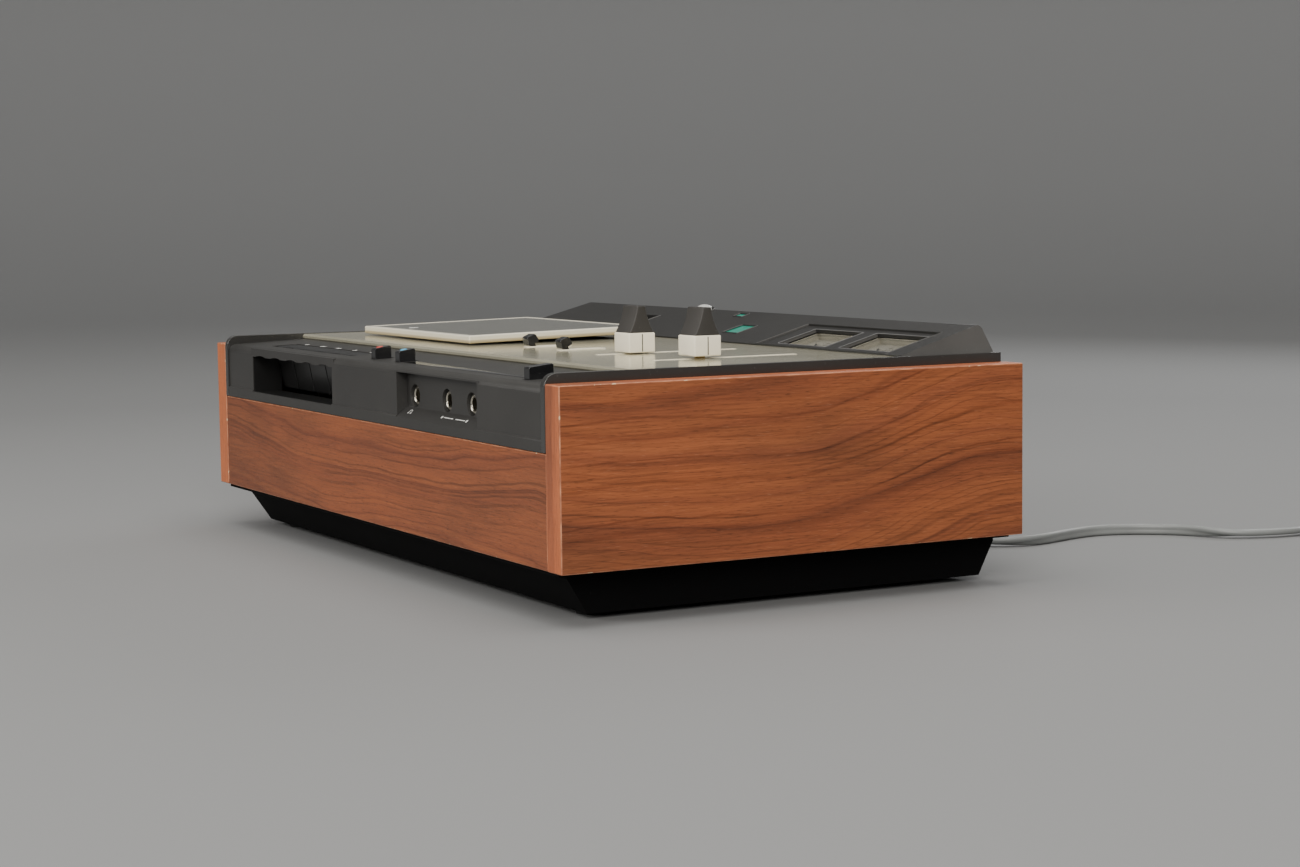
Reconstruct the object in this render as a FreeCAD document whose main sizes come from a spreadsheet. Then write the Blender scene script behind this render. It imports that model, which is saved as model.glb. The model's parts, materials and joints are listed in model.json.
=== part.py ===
import FreeCAD, Part
import math
import os
import re

import Sketcher

# A top-loading stereo cassette deck: walnut cabinet, black mouldings, aluminium deck plate.
# Frame: origin on the floor under the middle of the cabinet, +X to the deck's right as seen
# from the front, +Y to the rear, +Z up.  Millimetres.

DIMENSIONS = {
    # cabinet
    "deck_width": 445, "deck_depth": 245, "wood_high": 81.5, "wood_thick": 13.8,
    "wood_soften": 0.7, "floor_gap": 24.3, "front_wood_high": 51.2, "front_wood_thick": 12,
    "sheet_steel": 1.5, "board_gap": 0.3, "pan_lift": 0.7, "chassis_side": 4, "chassis_front": 22,
    # tub under the cabinet
    "flange_thick": 2, "flange_side": 8.5, "flange_front": 3, "flange_rear": 2,
    "tub_side": 18.7, "tub_front": 12, "tub_rear": 3.7, "tub_wall": 2.5, "tub_shoulder": 4.8,
    "tub_lean_side": 2.2, "tub_lean_front": 10.8, "tub_lean_rear": 6.9,
    "foot_high": 3, "foot_radius": 9, "foot_inset": 32,
    # black top frame and front moulding
    "rim_wide": 4, "rim_top": 86, "rim_low": 76.7, "rim_corner": 6, "rim_rear": 2.5,
    "fascia_set": 1, "fascia_low": 51.5, "fascia_top": 81, "fascia_wall": 3, "strip_thick": 2.6,
    "lip_high": 5.2, "lip_proud": 0.8, "strip_rear_top": 82.9, "plate_front": 46,
    # aluminium deck plate
    "plate_top": 85.6, "plate_thick": 2.7, "plate_under": 6,
    # piano keys and their opening
    "key_count": 5, "keys_left": -164.4, "keys_span": 121, "key_gap": 1, "key_shaft_radius": 2,
    "key_open_low": 56.3, "key_open_high": 76,
    # jack recess
    "jack_left": 43, "jack_right": 136.7, "jack_radius": 5.6, "jack_high": 66.8,
    # paddles, toggles and faders
    "paddle_wide": 5.4, "paddle_long": 12.2, "paddle_short": 8.8, "paddle_y": -108.5, "paddle_rear": -102.4,
    "toggle_y": -22.5, "toggle_z": 90, "toggle_lean": 23,
    "fader_front": -37.5, "fader_travel": 55, "fader_wide": 16, "fader_long": 14.4,
    "skirt_high": 9.7, "grip_high": 13.4,
    # meter bridge
    "bridge_front": 65.5, "bridge_ridge": 113.5, "bridge_rear": 118.3, "bridge_toe": 110.6,
    "bridge_top": 123.8, "bridge_wall": 2.5, "meter_wide": 44, "meter_high": 23.5,
    # cassette lid and well
    "lid_left": -167, "lid_wide": 145, "lid_front": -52.5, "lid_long": 104.5, "lid_thick": 4.2,
    "lid_tilt": 1.1, "lid_under": 110.9, "peg_radius": 1.5, "hinge_y": 57, "hinge_z": 101,
    "well_left": -159, "well_wide": 129, "well_front": -46, "well_long": 92, "well_wall": 2.5,
    # drive
    "reel_pitch": 42.5, "cassette_x": -94.5, "capstan_radius": 1.25, "flywheel_radius": 30,
    "pulley_radius": 5, "roller_radius": 6.5,
    # mains cord
    "cord_radius": 2.9, "coil_radius": 34, "coil_thick": 12, "coil_wide": 20, "plug_soften": 2,
}

WORD = re.compile(r"[a-z_][a-z_0-9]*")
INNER = "(deck_width/2 - wood_thick)"          # inner face of a side panel, from the middle
FRONT = "(-deck_depth/2)"                      # front edge of the side panels
REAR = "(deck_depth/2)"
PLATE_TOP = "(floor_gap + plate_top)"
PAN_TOP = "(floor_gap + pan_lift + sheet_steel)" # upper face of the chassis pan

doc = FreeCAD.newDocument("CassetteDeck")
sheet = doc.addObject("Spreadsheet::Sheet", "Dims")
for row, (alias, value) in enumerate(DIMENSIONS.items(), start=1):
    sheet.set(f"A{row}", alias)
    sheet.set(f"B{row}", str(value))
    sheet.setAlias(f"B{row}", alias)
doc.recompute()

nodes = []


def size(alias):
    """A driving dimension, read from the sheet."""
    return float(sheet.get(alias))


# ---------------------------------------------------------------- modelling helpers

def bind(thing, prop, text):
    """Bind a property to an expression written with the sheet's aliases."""
    named = WORD.sub(lambda m: "Dims." + m[0] if m[0] in DIMENSIONS else m[0], str(text))
    thing.setExpression(prop, named)


def place(thing, at, turn=None):
    """Put a thing at a point given as expressions, turned by a rotation."""
    if turn is not None:
        thing.Placement.Rotation = turn
    for letter, text in zip("xyz", at):
        bind(thing, f"Placement.Base.{letter}", text)
    return thing


def facing(direction):
    """The rotation that turns +Z to a direction."""
    return FreeCAD.Rotation(FreeCAD.Vector(0, 0, 1), FreeCAD.Vector(*direction))


def about_x(degrees):
    return FreeCAD.Rotation(FreeCAD.Vector(1, 0, 0), degrees)


def box(name, sides, at, turn=None):
    thing = doc.addObject("Part::Box", name)
    for prop, text in zip(("Length", "Width", "Height"), sides):
        bind(thing, prop, text)
    return place(thing, at, turn)


def cylinder(name, radius, high, at, direction=(0, 0, 1)):
    thing = doc.addObject("Part::Cylinder", name)
    bind(thing, "Radius", radius)
    bind(thing, "Height", high)
    return place(thing, at, facing(direction))


def cone(name, low_radius, high_radius, high, at, direction=(0, 0, 1)):
    thing = doc.addObject("Part::Cone", name)
    bind(thing, "Radius1", low_radius)
    bind(thing, "Radius2", high_radius)
    bind(thing, "Height", high)
    return place(thing, at, facing(direction))


def group(name, solids):
    """Separate solids kept together as one node or one cutting tool."""
    thing = doc.addObject("Part::Compound", name)
    thing.Links = solids
    return thing


def fuse(name, solids):
    thing = doc.addObject("Part::MultiFuse", name)
    thing.Shapes = solids
    thing.Refine = True
    return thing


def cut(name, base, tools):
    thing = doc.addObject("Part::Cut", name)
    thing.Base = base
    thing.Tool = tools[0] if len(tools) == 1 else group(name + "_cutters", tools)
    thing.Refine = True
    return thing


def soften(name, base, radius, edges=None):
    """Round the listed edges of a solid, or all of them."""
    doc.recompute()
    thing = doc.addObject("Part::Fillet", name)
    thing.Base = base
    count = len(base.Shape.Edges)
    thing.Edges = [(i, size(radius), size(radius)) for i in edges or range(1, count + 1)]
    return thing


def rounded(points, closed=True):
    """Straight runs joined by tangent arcs; a point is (x, y, z) with an optional radius."""
    corners = [FreeCAD.Vector(*p[:3]) for p in points]
    radii = [p[3] if len(p) > 3 else 0 for p in points]
    count = len(points)
    joints = []
    for i, (corner, radius) in enumerate(zip(corners, radii)):
        before = (corners[i - 1] - corner).normalize()
        after = (corners[(i + 1) % count] - corner).normalize()
        if not radius or (not closed and i in (0, count - 1)):
            joints.append((corner, corner, corner))
            continue
        half = before.getAngle(after) / 2
        reach = radius / math.tan(half)
        middle = (before + after).normalize()
        bottom = corner + middle * (radius / math.sin(half) - radius)
        joints.append((corner + before * reach, bottom, corner + after * reach))
    edges = []
    for i, (start, middle, end) in enumerate(joints):
        if (end - start).Length > 1e-6:
            edges.append(Part.Arc(start, middle, end))
        if closed or i < count - 1:
            following = joints[(i + 1) % count][0]
            if (following - end).Length > 1e-6:
                edges.append(Part.LineSegment(end, following))
    return edges


def outline(points):
    """A closed sketch outline; a point is (u, v) with an optional corner radius."""
    return rounded([(p[0], p[1], 0, *p[2:]) for p in points])


def sketched(name, plane, edges):
    """A body with one sketch on one of its own origin planes."""
    body = doc.addObject("PartDesign::Body", name)
    sketch = body.newObject("Sketcher::SketchObject", name + "_sketch")
    support = next(f for f in body.Origin.OriginFeatures if f.Role == plane)
    sketch.AttachmentSupport = (support, [""])
    sketch.MapMode = "FlatFace"
    sketch.addGeometry(edges, False)
    return body, sketch


def padded(name, plane, edges, length, at=(0, 0, 0), turn=None):
    """A sketch padded along its plane's normal: +Z for XY, +X for YZ, -Y for XZ."""
    body, sketch = sketched(name, plane, edges)
    pad = body.newObject("PartDesign::Pad", name + "_pad")
    pad.Profile = sketch
    bind(pad, "Length", length)
    return place(body, at, turn)


def turned(name, points, at=(0, 0, 0), direction=(0, 0, 1)):
    """A profile of (radius, height) points revolved about its own +Z."""
    body, sketch = sketched(name, "XZ_Plane", outline(points))
    spin = body.newObject("PartDesign::Revolution", name + "_spin")
    spin.Profile = sketch
    spin.ReferenceAxis = (sketch, ["V_Axis"])
    spin.Angle = 360
    return place(body, at, facing(direction))


def node(thing, name):
    """Mark a finished sub-part; its label is the node's name and names its file."""
    thing.Label = name
    nodes.append(thing)
    return thing


# ---------------------------------------------------------------- cabinet

def cabinet():
    for side, x in (("left", "-deck_width/2"), ("right", INNER)):
        board = box(f"board_{side}", ("wood_thick", "deck_depth", "wood_high"), (x, FRONT, "floor_gap"))
        node(soften(f"side_panel_{side}", board, "wood_soften"), f"side_panel_{side}")
    board = box("board_front", (f"2*{INNER} - 2*board_gap", "front_wood_thick", "front_wood_high"),
                (f"-{INNER} + board_gap", f"{FRONT} + 0.4", "floor_gap"))
    node(soften("front_panel", board, "wood_soften"), "front_panel")


CORD_X, CORD_Z = 24, 40                        # where the mains cord leaves the rear panel
SOCKETS = [(x, z) for x in (118, 138) for z in (52, 70)]
SCREWS = [(x, z) for x in (-190, -60, 70, 190) for z in (33, 92)]
PANEL_Y = "(deck_depth/2 - 10)"                # inner face of the rear panel


def rear_panel():
    panel = box("rear_sheet", (f"2*{INNER} - 2*board_gap", "sheet_steel", 76),
                (f"-{INNER} + board_gap", PANEL_Y, "floor_gap + 0.5"))
    holes = [cylinder(f"socket_hole_{x}_{z}", 4.5, 10, (x, f"{PANEL_Y} - 4", z), (0, 1, 0))
             for x, z in SOCKETS]
    holes.append(cylinder("cord_hole", 6.3, 10, (CORD_X, f"{PANEL_Y} - 4", CORD_Z), (0, 1, 0)))
    holes += [cylinder(f"screw_hole_{i}", 1.8, 10, (x, f"{PANEL_Y} - 4", z), (0, 1, 0))
              for i, (x, z) in enumerate(SCREWS)]
    node(cut("rear_panel", panel, holes), "rear_panel")
    heads = []
    for i, (x, z) in enumerate(SCREWS):
        head = cone(f"screw_head_{i}", 3.2, 2.2, 1.8, (x, f"{PANEL_Y} + sheet_steel", z), (0, 1, 0))
        shank = cylinder(f"screw_shank_{i}", 1.5, 9, (x, f"{PANEL_Y} + sheet_steel - 9", z), (0, 1, 0))
        heads.append(fuse(f"rear_screw_{i}", [head, shank]))
    node(group("rear_screws", heads), "rear_screws")


def tapered_tub(name, inset, low, high):
    """The tub's outer form, shrunk by an inset, from low to high above the floor."""
    block = doc.addObject("Part::Wedge", name)
    half = f"(deck_width/2 - tub_side - {inset})"
    front = f"(deck_depth/2 - tub_front - {inset})"
    rear = f"(deck_depth/2 - tub_rear - {inset})"
    for prop, text in (("Xmin", f"tub_lean_side - {half}"), ("Xmax", f"{half} - tub_lean_side"),
                       ("X2min", f"-{half}"), ("X2max", half),
                       ("Zmin", f"tub_lean_rear - {rear}"), ("Zmax", f"{front} - tub_lean_front"),
                       ("Z2min", f"-{rear}"), ("Z2max", front),
                       ("Ymin", "0"), ("Ymax", f"{high} - ({low})")):
        bind(block, prop, text)
    return place(block, (0, 0, low), about_x(90))


def bottom_cover():
    shoulder = "(floor_gap - tub_shoulder)"
    outer = tapered_tub("tub_outer", "0", "foot_high", shoulder)
    inner = tapered_tub("tub_inner", "tub_wall", "foot_high + tub_wall", shoulder)
    collars = []
    for name, inset, low, high in (("collar_outer", "0", shoulder, "floor_gap - flange_thick/2"),
                                   ("collar_inner", "tub_wall", f"{shoulder} - 0.01", "floor_gap + 1")):
        collars.append(box(name, (f"deck_width - 2*tub_side - 2*{inset}",
                                  f"deck_depth - tub_front - tub_rear - 2*{inset}", f"{high} - ({low})"),
                           (f"tub_side + {inset} - deck_width/2", f"{FRONT} + tub_front + {inset}", low)))
    flange = box("tub_flange", ("deck_width - 2*flange_side",
                                "deck_depth - flange_front - flange_rear", "flange_thick"),
                 ("flange_side - deck_width/2", f"{FRONT} + flange_front", "floor_gap - flange_thick"))
    slots = [box(f"vent_{i}", (4, 60, 10), (-92 + 20 * i, -30, 1)) for i in range(10)]
    shell = fuse("tub_shell", [outer, collars[0], flange])
    node(cut("bottom_cover", shell, [fuse("tub_hollow", [inner, collars[1]]), *slots]), "bottom_cover")
    feet = []
    for x in ("foot_inset + 8 - deck_width/2", "deck_width/2 - foot_inset - 8"):
        for y in (f"{FRONT} + foot_inset + 4", f"{REAR} - foot_inset"):
            feet.append(cone(f"foot_{len(feet)}", "foot_radius - 0.8", "foot_radius", "foot_high", (x, y, 0)))
    node(group("rubber_feet", feet), "rubber_feet")


# ---------------------------------------------------------------- top mouldings and plate

def top_frame():
    front, rear, floor_gap = -size("deck_depth") / 2, size("deck_depth") / 2, size("floor_gap")
    wide, radius = size("rim_wide"), size("rim_corner")
    top, low, leg_low = floor_gap + size("rim_top"), floor_gap + size("rim_low"), floor_gap + size("fascia_low")
    back = rear - size("rim_rear")
    profile = [(front, leg_low), (front + wide, leg_low), (front + wide, low, 2), (back, low),
               (back, top), (front, top, radius)]
    legs = [padded(f"rim_{side}", "YZ_Plane", outline(profile), "rim_wide", (x, 0, 0))
            for side, x in (("left", f"0.2 - {INNER}"), ("right", f"{INNER} - rim_wide - 0.2"))]
    rail = box("rim_rail", (f"2*{INNER} - 0.4", 3.5, "6"),
               (f"0.2 - {INNER}", f"{REAR} - rim_rear - 3.5", "floor_gap + rim_low"))
    lip = box("rim_lip", (f"2*{INNER} - 0.4", 1.4, "rim_top - rim_low"),
              (f"0.2 - {INNER}", f"{REAR} - rim_rear - 1.4", "floor_gap + rim_low"))
    node(fuse("top_frame", [*legs, rail, lip]), "top_frame")


FASCIA_HALF = f"({INNER} - rim_wide - 0.4)"
PADDLES = {"lever_red": (-11.2, "paddle_short"), "lever_blue": (20, "paddle_short"),
           "power_lever": (175, "paddle_long")}
JACKS = (53, 91, 119)


def front_fascia():
    face = size("fascia_set") - size("deck_depth") / 2
    floor_gap, wall, thick = size("floor_gap"), size("fascia_wall"), size("strip_thick")
    low, top = floor_gap + size("fascia_low"), floor_gap + size("fascia_top")
    strip_rear = size("plate_front") - size("deck_depth") / 2
    rear_top = floor_gap + size("strip_rear_top")
    under = strip_rear + size("plate_under")
    proud, lip = size("lip_proud"), size("lip_high")
    profile = [(face - proud, low), (face - proud, low + lip, 0.6), (face, low + lip + 0.5),
               (face, top, 4), (strip_rear, rear_top - 0.1), (under, rear_top - 0.1),
               (under, rear_top - thick), (face + 12, top - thick), (face + wall, top - thick - 0.2),
               (face + wall, low)]
    shell = padded("fascia_shell", "YZ_Plane", outline(profile), f"2*{FASCIA_HALF}", (f"-{FASCIA_HALF}", 0, 0))
    key_low, key_high = "(floor_gap + key_open_low)", "(floor_gap + key_open_high)"
    recess_face = f"({FRONT} + fascia_set)"
    surround = box("key_surround", ("keys_span + 5", 17, "key_open_high - key_open_low + 4.5"),
                   ("keys_left - 2.5", recess_face, f"{key_low} - 2"))
    lintel = box("key_lintel", ("keys_span + 5", 11, 4.6), ("keys_left - 2.5", recess_face, f"{key_high}"))
    block = box("jack_block", ("jack_right - jack_left + 5", 9, "24"),
                ("jack_left - 2.5", recess_face, "floor_gap + 55"))
    body = fuse("fascia_body", [shell, surround, lintel, block])

    cutters = [box("key_mouth", ("keys_span", 30, "key_open_high - key_open_low"),
                   ("keys_left", f"{recess_face} - 5", key_low))]
    cutters.append(box("key_slot", ("keys_span", 15.6, 40), ("keys_left", f"{recess_face} + 11.2", key_low)))
    cutters.append(box("key_under", ("keys_span", 20, 10), ("keys_left", f"{recess_face} + 15.5", f"{key_low} - 5")))
    pitch = size("keys_span") / size("key_count")
    for i in range(int(size("key_count"))):
        middle = size("keys_left") + pitch * (i + 0.5)
        arch = cylinder(f"key_arch_{i}", 42, 12, (middle, f"{recess_face} - 5", f"{key_high} - 41.2"), (0, 1, 0))
        band = box(f"key_band_{i}", (2 * pitch, 30, 3), (middle - pitch, f"{recess_face} - 8", f"{key_high} - 0.5"))
        scallop = doc.addObject("Part::Common", f"key_scallop_{i}")
        scallop.Base, scallop.Tool = arch, band
        cutters.append(scallop)
    jack_face = size("fascia_set") - size("deck_depth") / 2
    pocket = [(jack_face - 2, floor_gap + 55.2), (jack_face + 5.6, floor_gap + 61.2, 0.8),
              (jack_face + 5.6, floor_gap + 77.7, 0.8), (jack_face - 2, floor_gap + 78.4)]
    cutters.append(padded("jack_pocket", "YZ_Plane", outline(pocket), "jack_right - jack_left", ("jack_left", 0, 0)))
    for x in JACKS:
        start = (x, f"{recess_face} - 2", "floor_gap + jack_high")
        cutters.append(cylinder(f"jack_hole_{x}", "jack_radius", 20, start, (0, 1, 0)))
    for name, (x, long) in PADDLES.items():
        cutters.append(box(f"{name}_slot", ("paddle_wide + 1.2", f"{long} + 2.4", 30),
                           (f"{x} - paddle_wide/2 - 0.6", f"paddle_rear - {long} - 0.6", "floor_gap + 60")))
    node(cut("front_fascia", body, cutters), "front_fascia")


TOGGLES = {"left": 10, "right": 48}
FADERS = {"left": 95, "right": 152}
FADER_REST = {"left": -17, "right": -13}       # middle of each knob at rest
LID_ARMS = (-150, -44)


def top_plate():
    front, top = size("plate_front") - size("deck_depth") / 2, size("floor_gap") + size("plate_top")
    thick = size("plate_thick")
    rear = size("bridge_front") + 4.5
    profile = [(front + 0.5, top - thick), (front, top - thick + 0.6), (front, top - 1), (front + 1, top),
               (rear, top), (rear, top - thick)]
    sheet_metal = padded("plate_sheet", "YZ_Plane", outline(profile), f"2*{FASCIA_HALF}", (f"-{FASCIA_HALF}", 0, 0))
    cutters = [box("well_opening", ("well_wide - 2*well_wall", "well_long - 2*well_wall", 20),
                   ("well_left + well_wall", "well_front + well_wall", 100))]
    cutters += [box(f"toggle_opening_{side}", (3.4, 22, 20), (x - 1.7, "toggle_y - 11", 100))
                for side, x in TOGGLES.items()]
    cutters += [box(f"fader_opening_{side}", (2.4, "fader_travel + 22", 20), (x - 1.2, "fader_front", 100))
                for side, x in FADERS.items()]
    cutters += [box(f"arm_opening_{x}", (6, 21.5, 20), (x - 3, 44.5, 100)) for x in LID_ARMS]
    node(cut("top_plate", sheet_metal, cutters), "top_plate")


# ---------------------------------------------------------------- meter bridge

SLOPE = math.degrees(math.atan2(DIMENSIONS["bridge_top"] - DIMENSIONS["bridge_toe"],
                                DIMENSIONS["bridge_ridge"] - DIMENSIONS["bridge_front"]))
METERS = {"left": 108, "right": 164.5}         # middle of each meter window
METER_PANEL = 131.3                            # middle of the sunk panel round them
METER_UP = 17.3                                # its distance up the sloping face
NEEDLE_DROP = 9                                # needle pivot below the window's middle
NEEDLE_REST = 42                               # degrees to the left at rest
COUNTER_X, COUNTER_UP = -96, 25
BUTTON_X, BUTTON_UP = -52, 42.5
LAMPS = ((25.5, 19.5, 15, 12.5), (-8, 41, 9, 4.5))


def on_slope(x, up, lift=0.0):
    """A point of the bridge's sloping face, lifted along its normal."""
    lean = math.radians(SLOPE)
    return (x, size("bridge_front") + up * math.cos(lean) - lift * math.sin(lean),
            size("bridge_toe") + up * math.sin(lean) + lift * math.cos(lean))


def slope_box(name, middle, up, wide, high, low, top):
    """A block square to the sloping face, between two heights above it."""
    return box(name, (wide, high, top - low), on_slope(middle - wide / 2, up - high / 2, low), about_x(SLOPE))


def slope_rod(name, x, up, radius, low, top):
    normal = (0, -math.sin(math.radians(SLOPE)), math.cos(math.radians(SLOPE)))
    return cylinder(name, radius, top - low, on_slope(x, up, low), normal)


def meter_bridge():
    toe, ridge, rear = size("bridge_front"), size("bridge_ridge"), size("bridge_rear")
    toe_z, ridge_z, wall = size("bridge_toe"), size("bridge_top"), size("bridge_wall")
    base = size("floor_gap") + size("strip_rear_top") + 3
    lean = math.radians(SLOPE)
    drop = wall / math.cos(lean)
    shell = padded("bridge_shell", "YZ_Plane",
                   outline([(toe, base), (toe, toe_z, 0.3), (ridge, ridge_z, 3), (rear, base + 1), (rear, base)]),
                   f"2*{FASCIA_HALF}", (f"-{FASCIA_HALF}", 0, 0))
    inside = outline([(toe + 4, base - 1), (toe + 4, toe_z + 4 * math.tan(lean) - drop),
                      (ridge, ridge_z - drop), (ridge + 1, ridge_z - drop - 1), (rear - wall, base - 1)])
    hollow = padded("bridge_hollow", "YZ_Plane", inside, f"2*{FASCIA_HALF} - 16", (f"8 - {FASCIA_HALF}", 0, 0))
    half = size("deck_width") / 2 - size("wood_thick") - size("rim_wide") - 0.4
    ends = []
    for side in (-1, 1):
        wedge = [(side * half, toe_z - 0.4), (side * (half - 4.5), ridge_z + 2), (side * (half + 5), ridge_z + 2),
                 (side * (half + 5), toe_z - 0.4)]
        ends.append(padded(f"bridge_end_{side + 1}", "XZ_Plane", outline(wedge), 80, (0, 130, 0)))
    windows = [slope_box(f"meter_window_{side}", x, METER_UP, size("meter_wide"), size("meter_high"), -6, 4)
               for side, x in METERS.items()]
    windows += [slope_box(f"lamp_window_{i}", x, up, wide, high, -6, 4)
                for i, (x, up, wide, high) in enumerate(LAMPS)]
    windows.append(slope_box("counter_window", COUNTER_X, COUNTER_UP, 24, 12, -6, 4))
    windows.append(slope_rod("button_hole", BUTTON_X, BUTTON_UP, 5.6, -8, 4))
    windows.append(slope_box("meter_step", METER_PANEL, METER_UP, 118, 33, -0.8, 4))
    node(cut("meter_bridge", shell, [hollow, *ends, *windows]), "meter_bridge")


def meters():
    cases, lenses = [], []
    for side, x in METERS.items():
        can = slope_box(f"meter_can_{side}", x, METER_UP + 0.5, 49, 27, -18, -3.5)
        well = slope_box(f"meter_can_well_{side}", x, METER_UP + 0.5, 46.4, 24.4, -7, -3)
        cases.append(cut(f"meter_case_{side}", can, [well]))
        pivot = slope_rod(f"meter_pivot_{side}", x, METER_UP - NEEDLE_DROP, 1.2, -7.2, -6.3)
        cases.append(pivot)
        lenses.append(slope_box(f"meter_lens_{side}", x, METER_UP + 0.5, 46, 24, -4.6, -3.6))
        hub = slope_rod(f"needle_hub_{side}", x, METER_UP - NEEDLE_DROP, 1.6, -6.1, -5.4)
        bar = [(-0.35, 0), (0.35, 0), (0.35, 17), (-0.35, 17)]
        at_rest = about_x(SLOPE) * FreeCAD.Rotation(FreeCAD.Vector(0, 0, 1), NEEDLE_REST)
        arm = padded(f"needle_arm_{side}", "XY_Plane", outline(bar), 0.5,
                     on_slope(x, METER_UP - NEEDLE_DROP, -6.0), at_rest)
        node(fuse(f"meter_needle_{side}", [hub, arm]), f"meter_needle_{side}")
    merged = [fuse(f"meter_{side}", cases[2 * i:2 * i + 2]) for i, side in enumerate(METERS)]
    node(group("vu_meters", merged), "vu_meters")
    node(group("meter_lenses", lenses), "meter_lenses")
    panes = [slope_box(f"lamp_pane_{i}", x, up, wide - 0.3, high - 0.3, -1.9, -0.3)
             for i, (x, up, wide, high) in enumerate(LAMPS)]
    node(group("lamp_lenses", panes), "lamp_lenses")


def tape_counter():
    case = slope_box("counter_case", COUNTER_X, COUNTER_UP, 30, 18, -20, -2.8)
    drum_room = slope_box("counter_room", COUNTER_X, COUNTER_UP, 22, 15, -18.5, 4)
    node(cut("counter_frame", case, [drum_room]), "counter_frame")
    middle = on_slope(COUNTER_X - 9, COUNTER_UP, -10.2)
    drums = [cylinder(f"counter_drum_{i}", 6.8, 5.2, (middle[0] + 6.2 * i, *middle[1:]), (1, 0, 0))
             for i in range(3)]
    axle = cylinder("counter_axle", 1.2, 20.6, (middle[0] - 1.2, *middle[1:]), (1, 0, 0))
    node(fuse("counter_drums", [axle, *drums]), "counter_drums")
    stem = slope_rod("button_stem", BUTTON_X, BUTTON_UP, 5.2, -7, 1.6)
    ball = doc.addObject("Part::Sphere", "button_ball")
    ball.Radius = 7
    place(ball, on_slope(BUTTON_X, BUTTON_UP, -2.8))
    neck = slope_rod("button_neck", BUTTON_X, BUTTON_UP, 5.2, -4, 6)
    dome = doc.addObject("Part::Common", "button_dome")
    dome.Base, dome.Tool = ball, neck
    node(fuse("counter_button", [stem, dome]), "counter_button")


# ---------------------------------------------------------------- cassette lid and well

def lid_placement():
    """Turn by the lid's small tilt about its front lower edge."""
    return FreeCAD.Placement(FreeCAD.Vector(0, 0, 0), about_x(size("lid_tilt")),
                             FreeCAD.Vector(0, size("lid_front"), size("lid_under")))


def cassette_lid():
    slab = box("lid_slab", ("lid_wide", "lid_long", "lid_thick"), ("lid_left", "lid_front", "lid_under"))
    doc.recompute()
    slab = soften("lid_rounded", slab, "wood_soften")
    cutters = [box("lid_opening", ("lid_wide - 30", "lid_long - 26", 20),
                   ("lid_left + 15", "lid_front + 13", "lid_under - 5")),
               box("lid_rebate", ("lid_wide - 7", "lid_long - 7", 20),
                   ("lid_left + 3.5", "lid_front + 3.5", "lid_under + lid_thick - 1.8"))]
    frame = cut("lid_ring", slab, cutters)
    frame.Placement = lid_placement()
    arms = []
    for x in LID_ARMS:
        reach = [(size("hinge_y") + 3.2, size("hinge_z") - 3, 2.5), (size("hinge_y") + 3.2, size("hinge_z") + 3, 2),
                 (49.5, size("lid_under") + 3), (44, size("lid_under") + 3),
                 (size("hinge_y") - 6, size("hinge_z") - 3, 2)]
        arms.append(padded(f"lid_arm_{x}", "YZ_Plane", outline(reach), 3, (x - 1.5, 0, 0)))
        peg_start = x - 5.5 if x < size("cassette_x") else x - 2
        arms.append(cylinder(f"lid_peg_{x}", "peg_radius", 7.5, (peg_start, "hinge_y", "hinge_z"), (1, 0, 0)))
    node(fuse("lid_frame", [frame, *arms]), "lid_frame")
    pane = box("lid_pane", ("lid_wide - 7.4", "lid_long - 7.4", 1.6),
               ("lid_left + 3.7", "lid_front + 3.7", "lid_under + lid_thick - 1.75"))
    pane_node = group("lid_window", [pane])
    pane_node.Placement = lid_placement()
    node(pane_node, "lid_window")


WELL_LOW = 88
SPINDLE_Y = 6
CAPSTAN = (-61.5, -18.4)
ROLLER = (-61.5, -30.5)


def reel_x():
    return [size("cassette_x") + side * size("reel_pitch") / 2 for side in (-1, 1)]


def cassette_well():
    tray = box("well_tray", ("well_wide", "well_long", f"{PLATE_TOP} - plate_thick - {WELL_LOW}"),
               ("well_left", "well_front", WELL_LOW))
    ears = []
    for x in LID_ARMS:
        side = x - 6 if x < size("cassette_x") else x + 2.6
        ears.append(box(f"well_ear_{x}", (3, 18, 14), (side, 45.5, 93)))
    body = fuse("well_body", [tray, *ears])
    cutters = [box("well_hollow", ("well_wide - 2*well_wall", "well_long - 2*well_wall", 30),
                   ("well_left + well_wall", "well_front + well_wall", WELL_LOW + size("well_wall"))),
               box("head_opening", (101, 20, 30), (-145, -43, WELL_LOW - 5)),
               box("roller_opening", (24, 29, 30), (CAPSTAN[0] - 10.5, -43, WELL_LOW - 5))]
    cutters += [cylinder(f"spindle_hole_{i}", 7, 20, (x, SPINDLE_Y, WELL_LOW - 5)) for i, x in enumerate(reel_x())]
    cutters += [cylinder(f"peg_hole_{x}", "peg_radius + 0.05", 12, (x - 6, "hinge_y", "hinge_z"), (1, 0, 0))
                for x in LID_ARMS]
    node(cut("cassette_well", body, cutters), "cassette_well")


# ---------------------------------------------------------------- controls

KEY_NAMES = ("key_record", "key_rewind", "key_fast_forward", "key_play", "key_stop")
KEY_PIVOT = (-70, 92)


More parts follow.
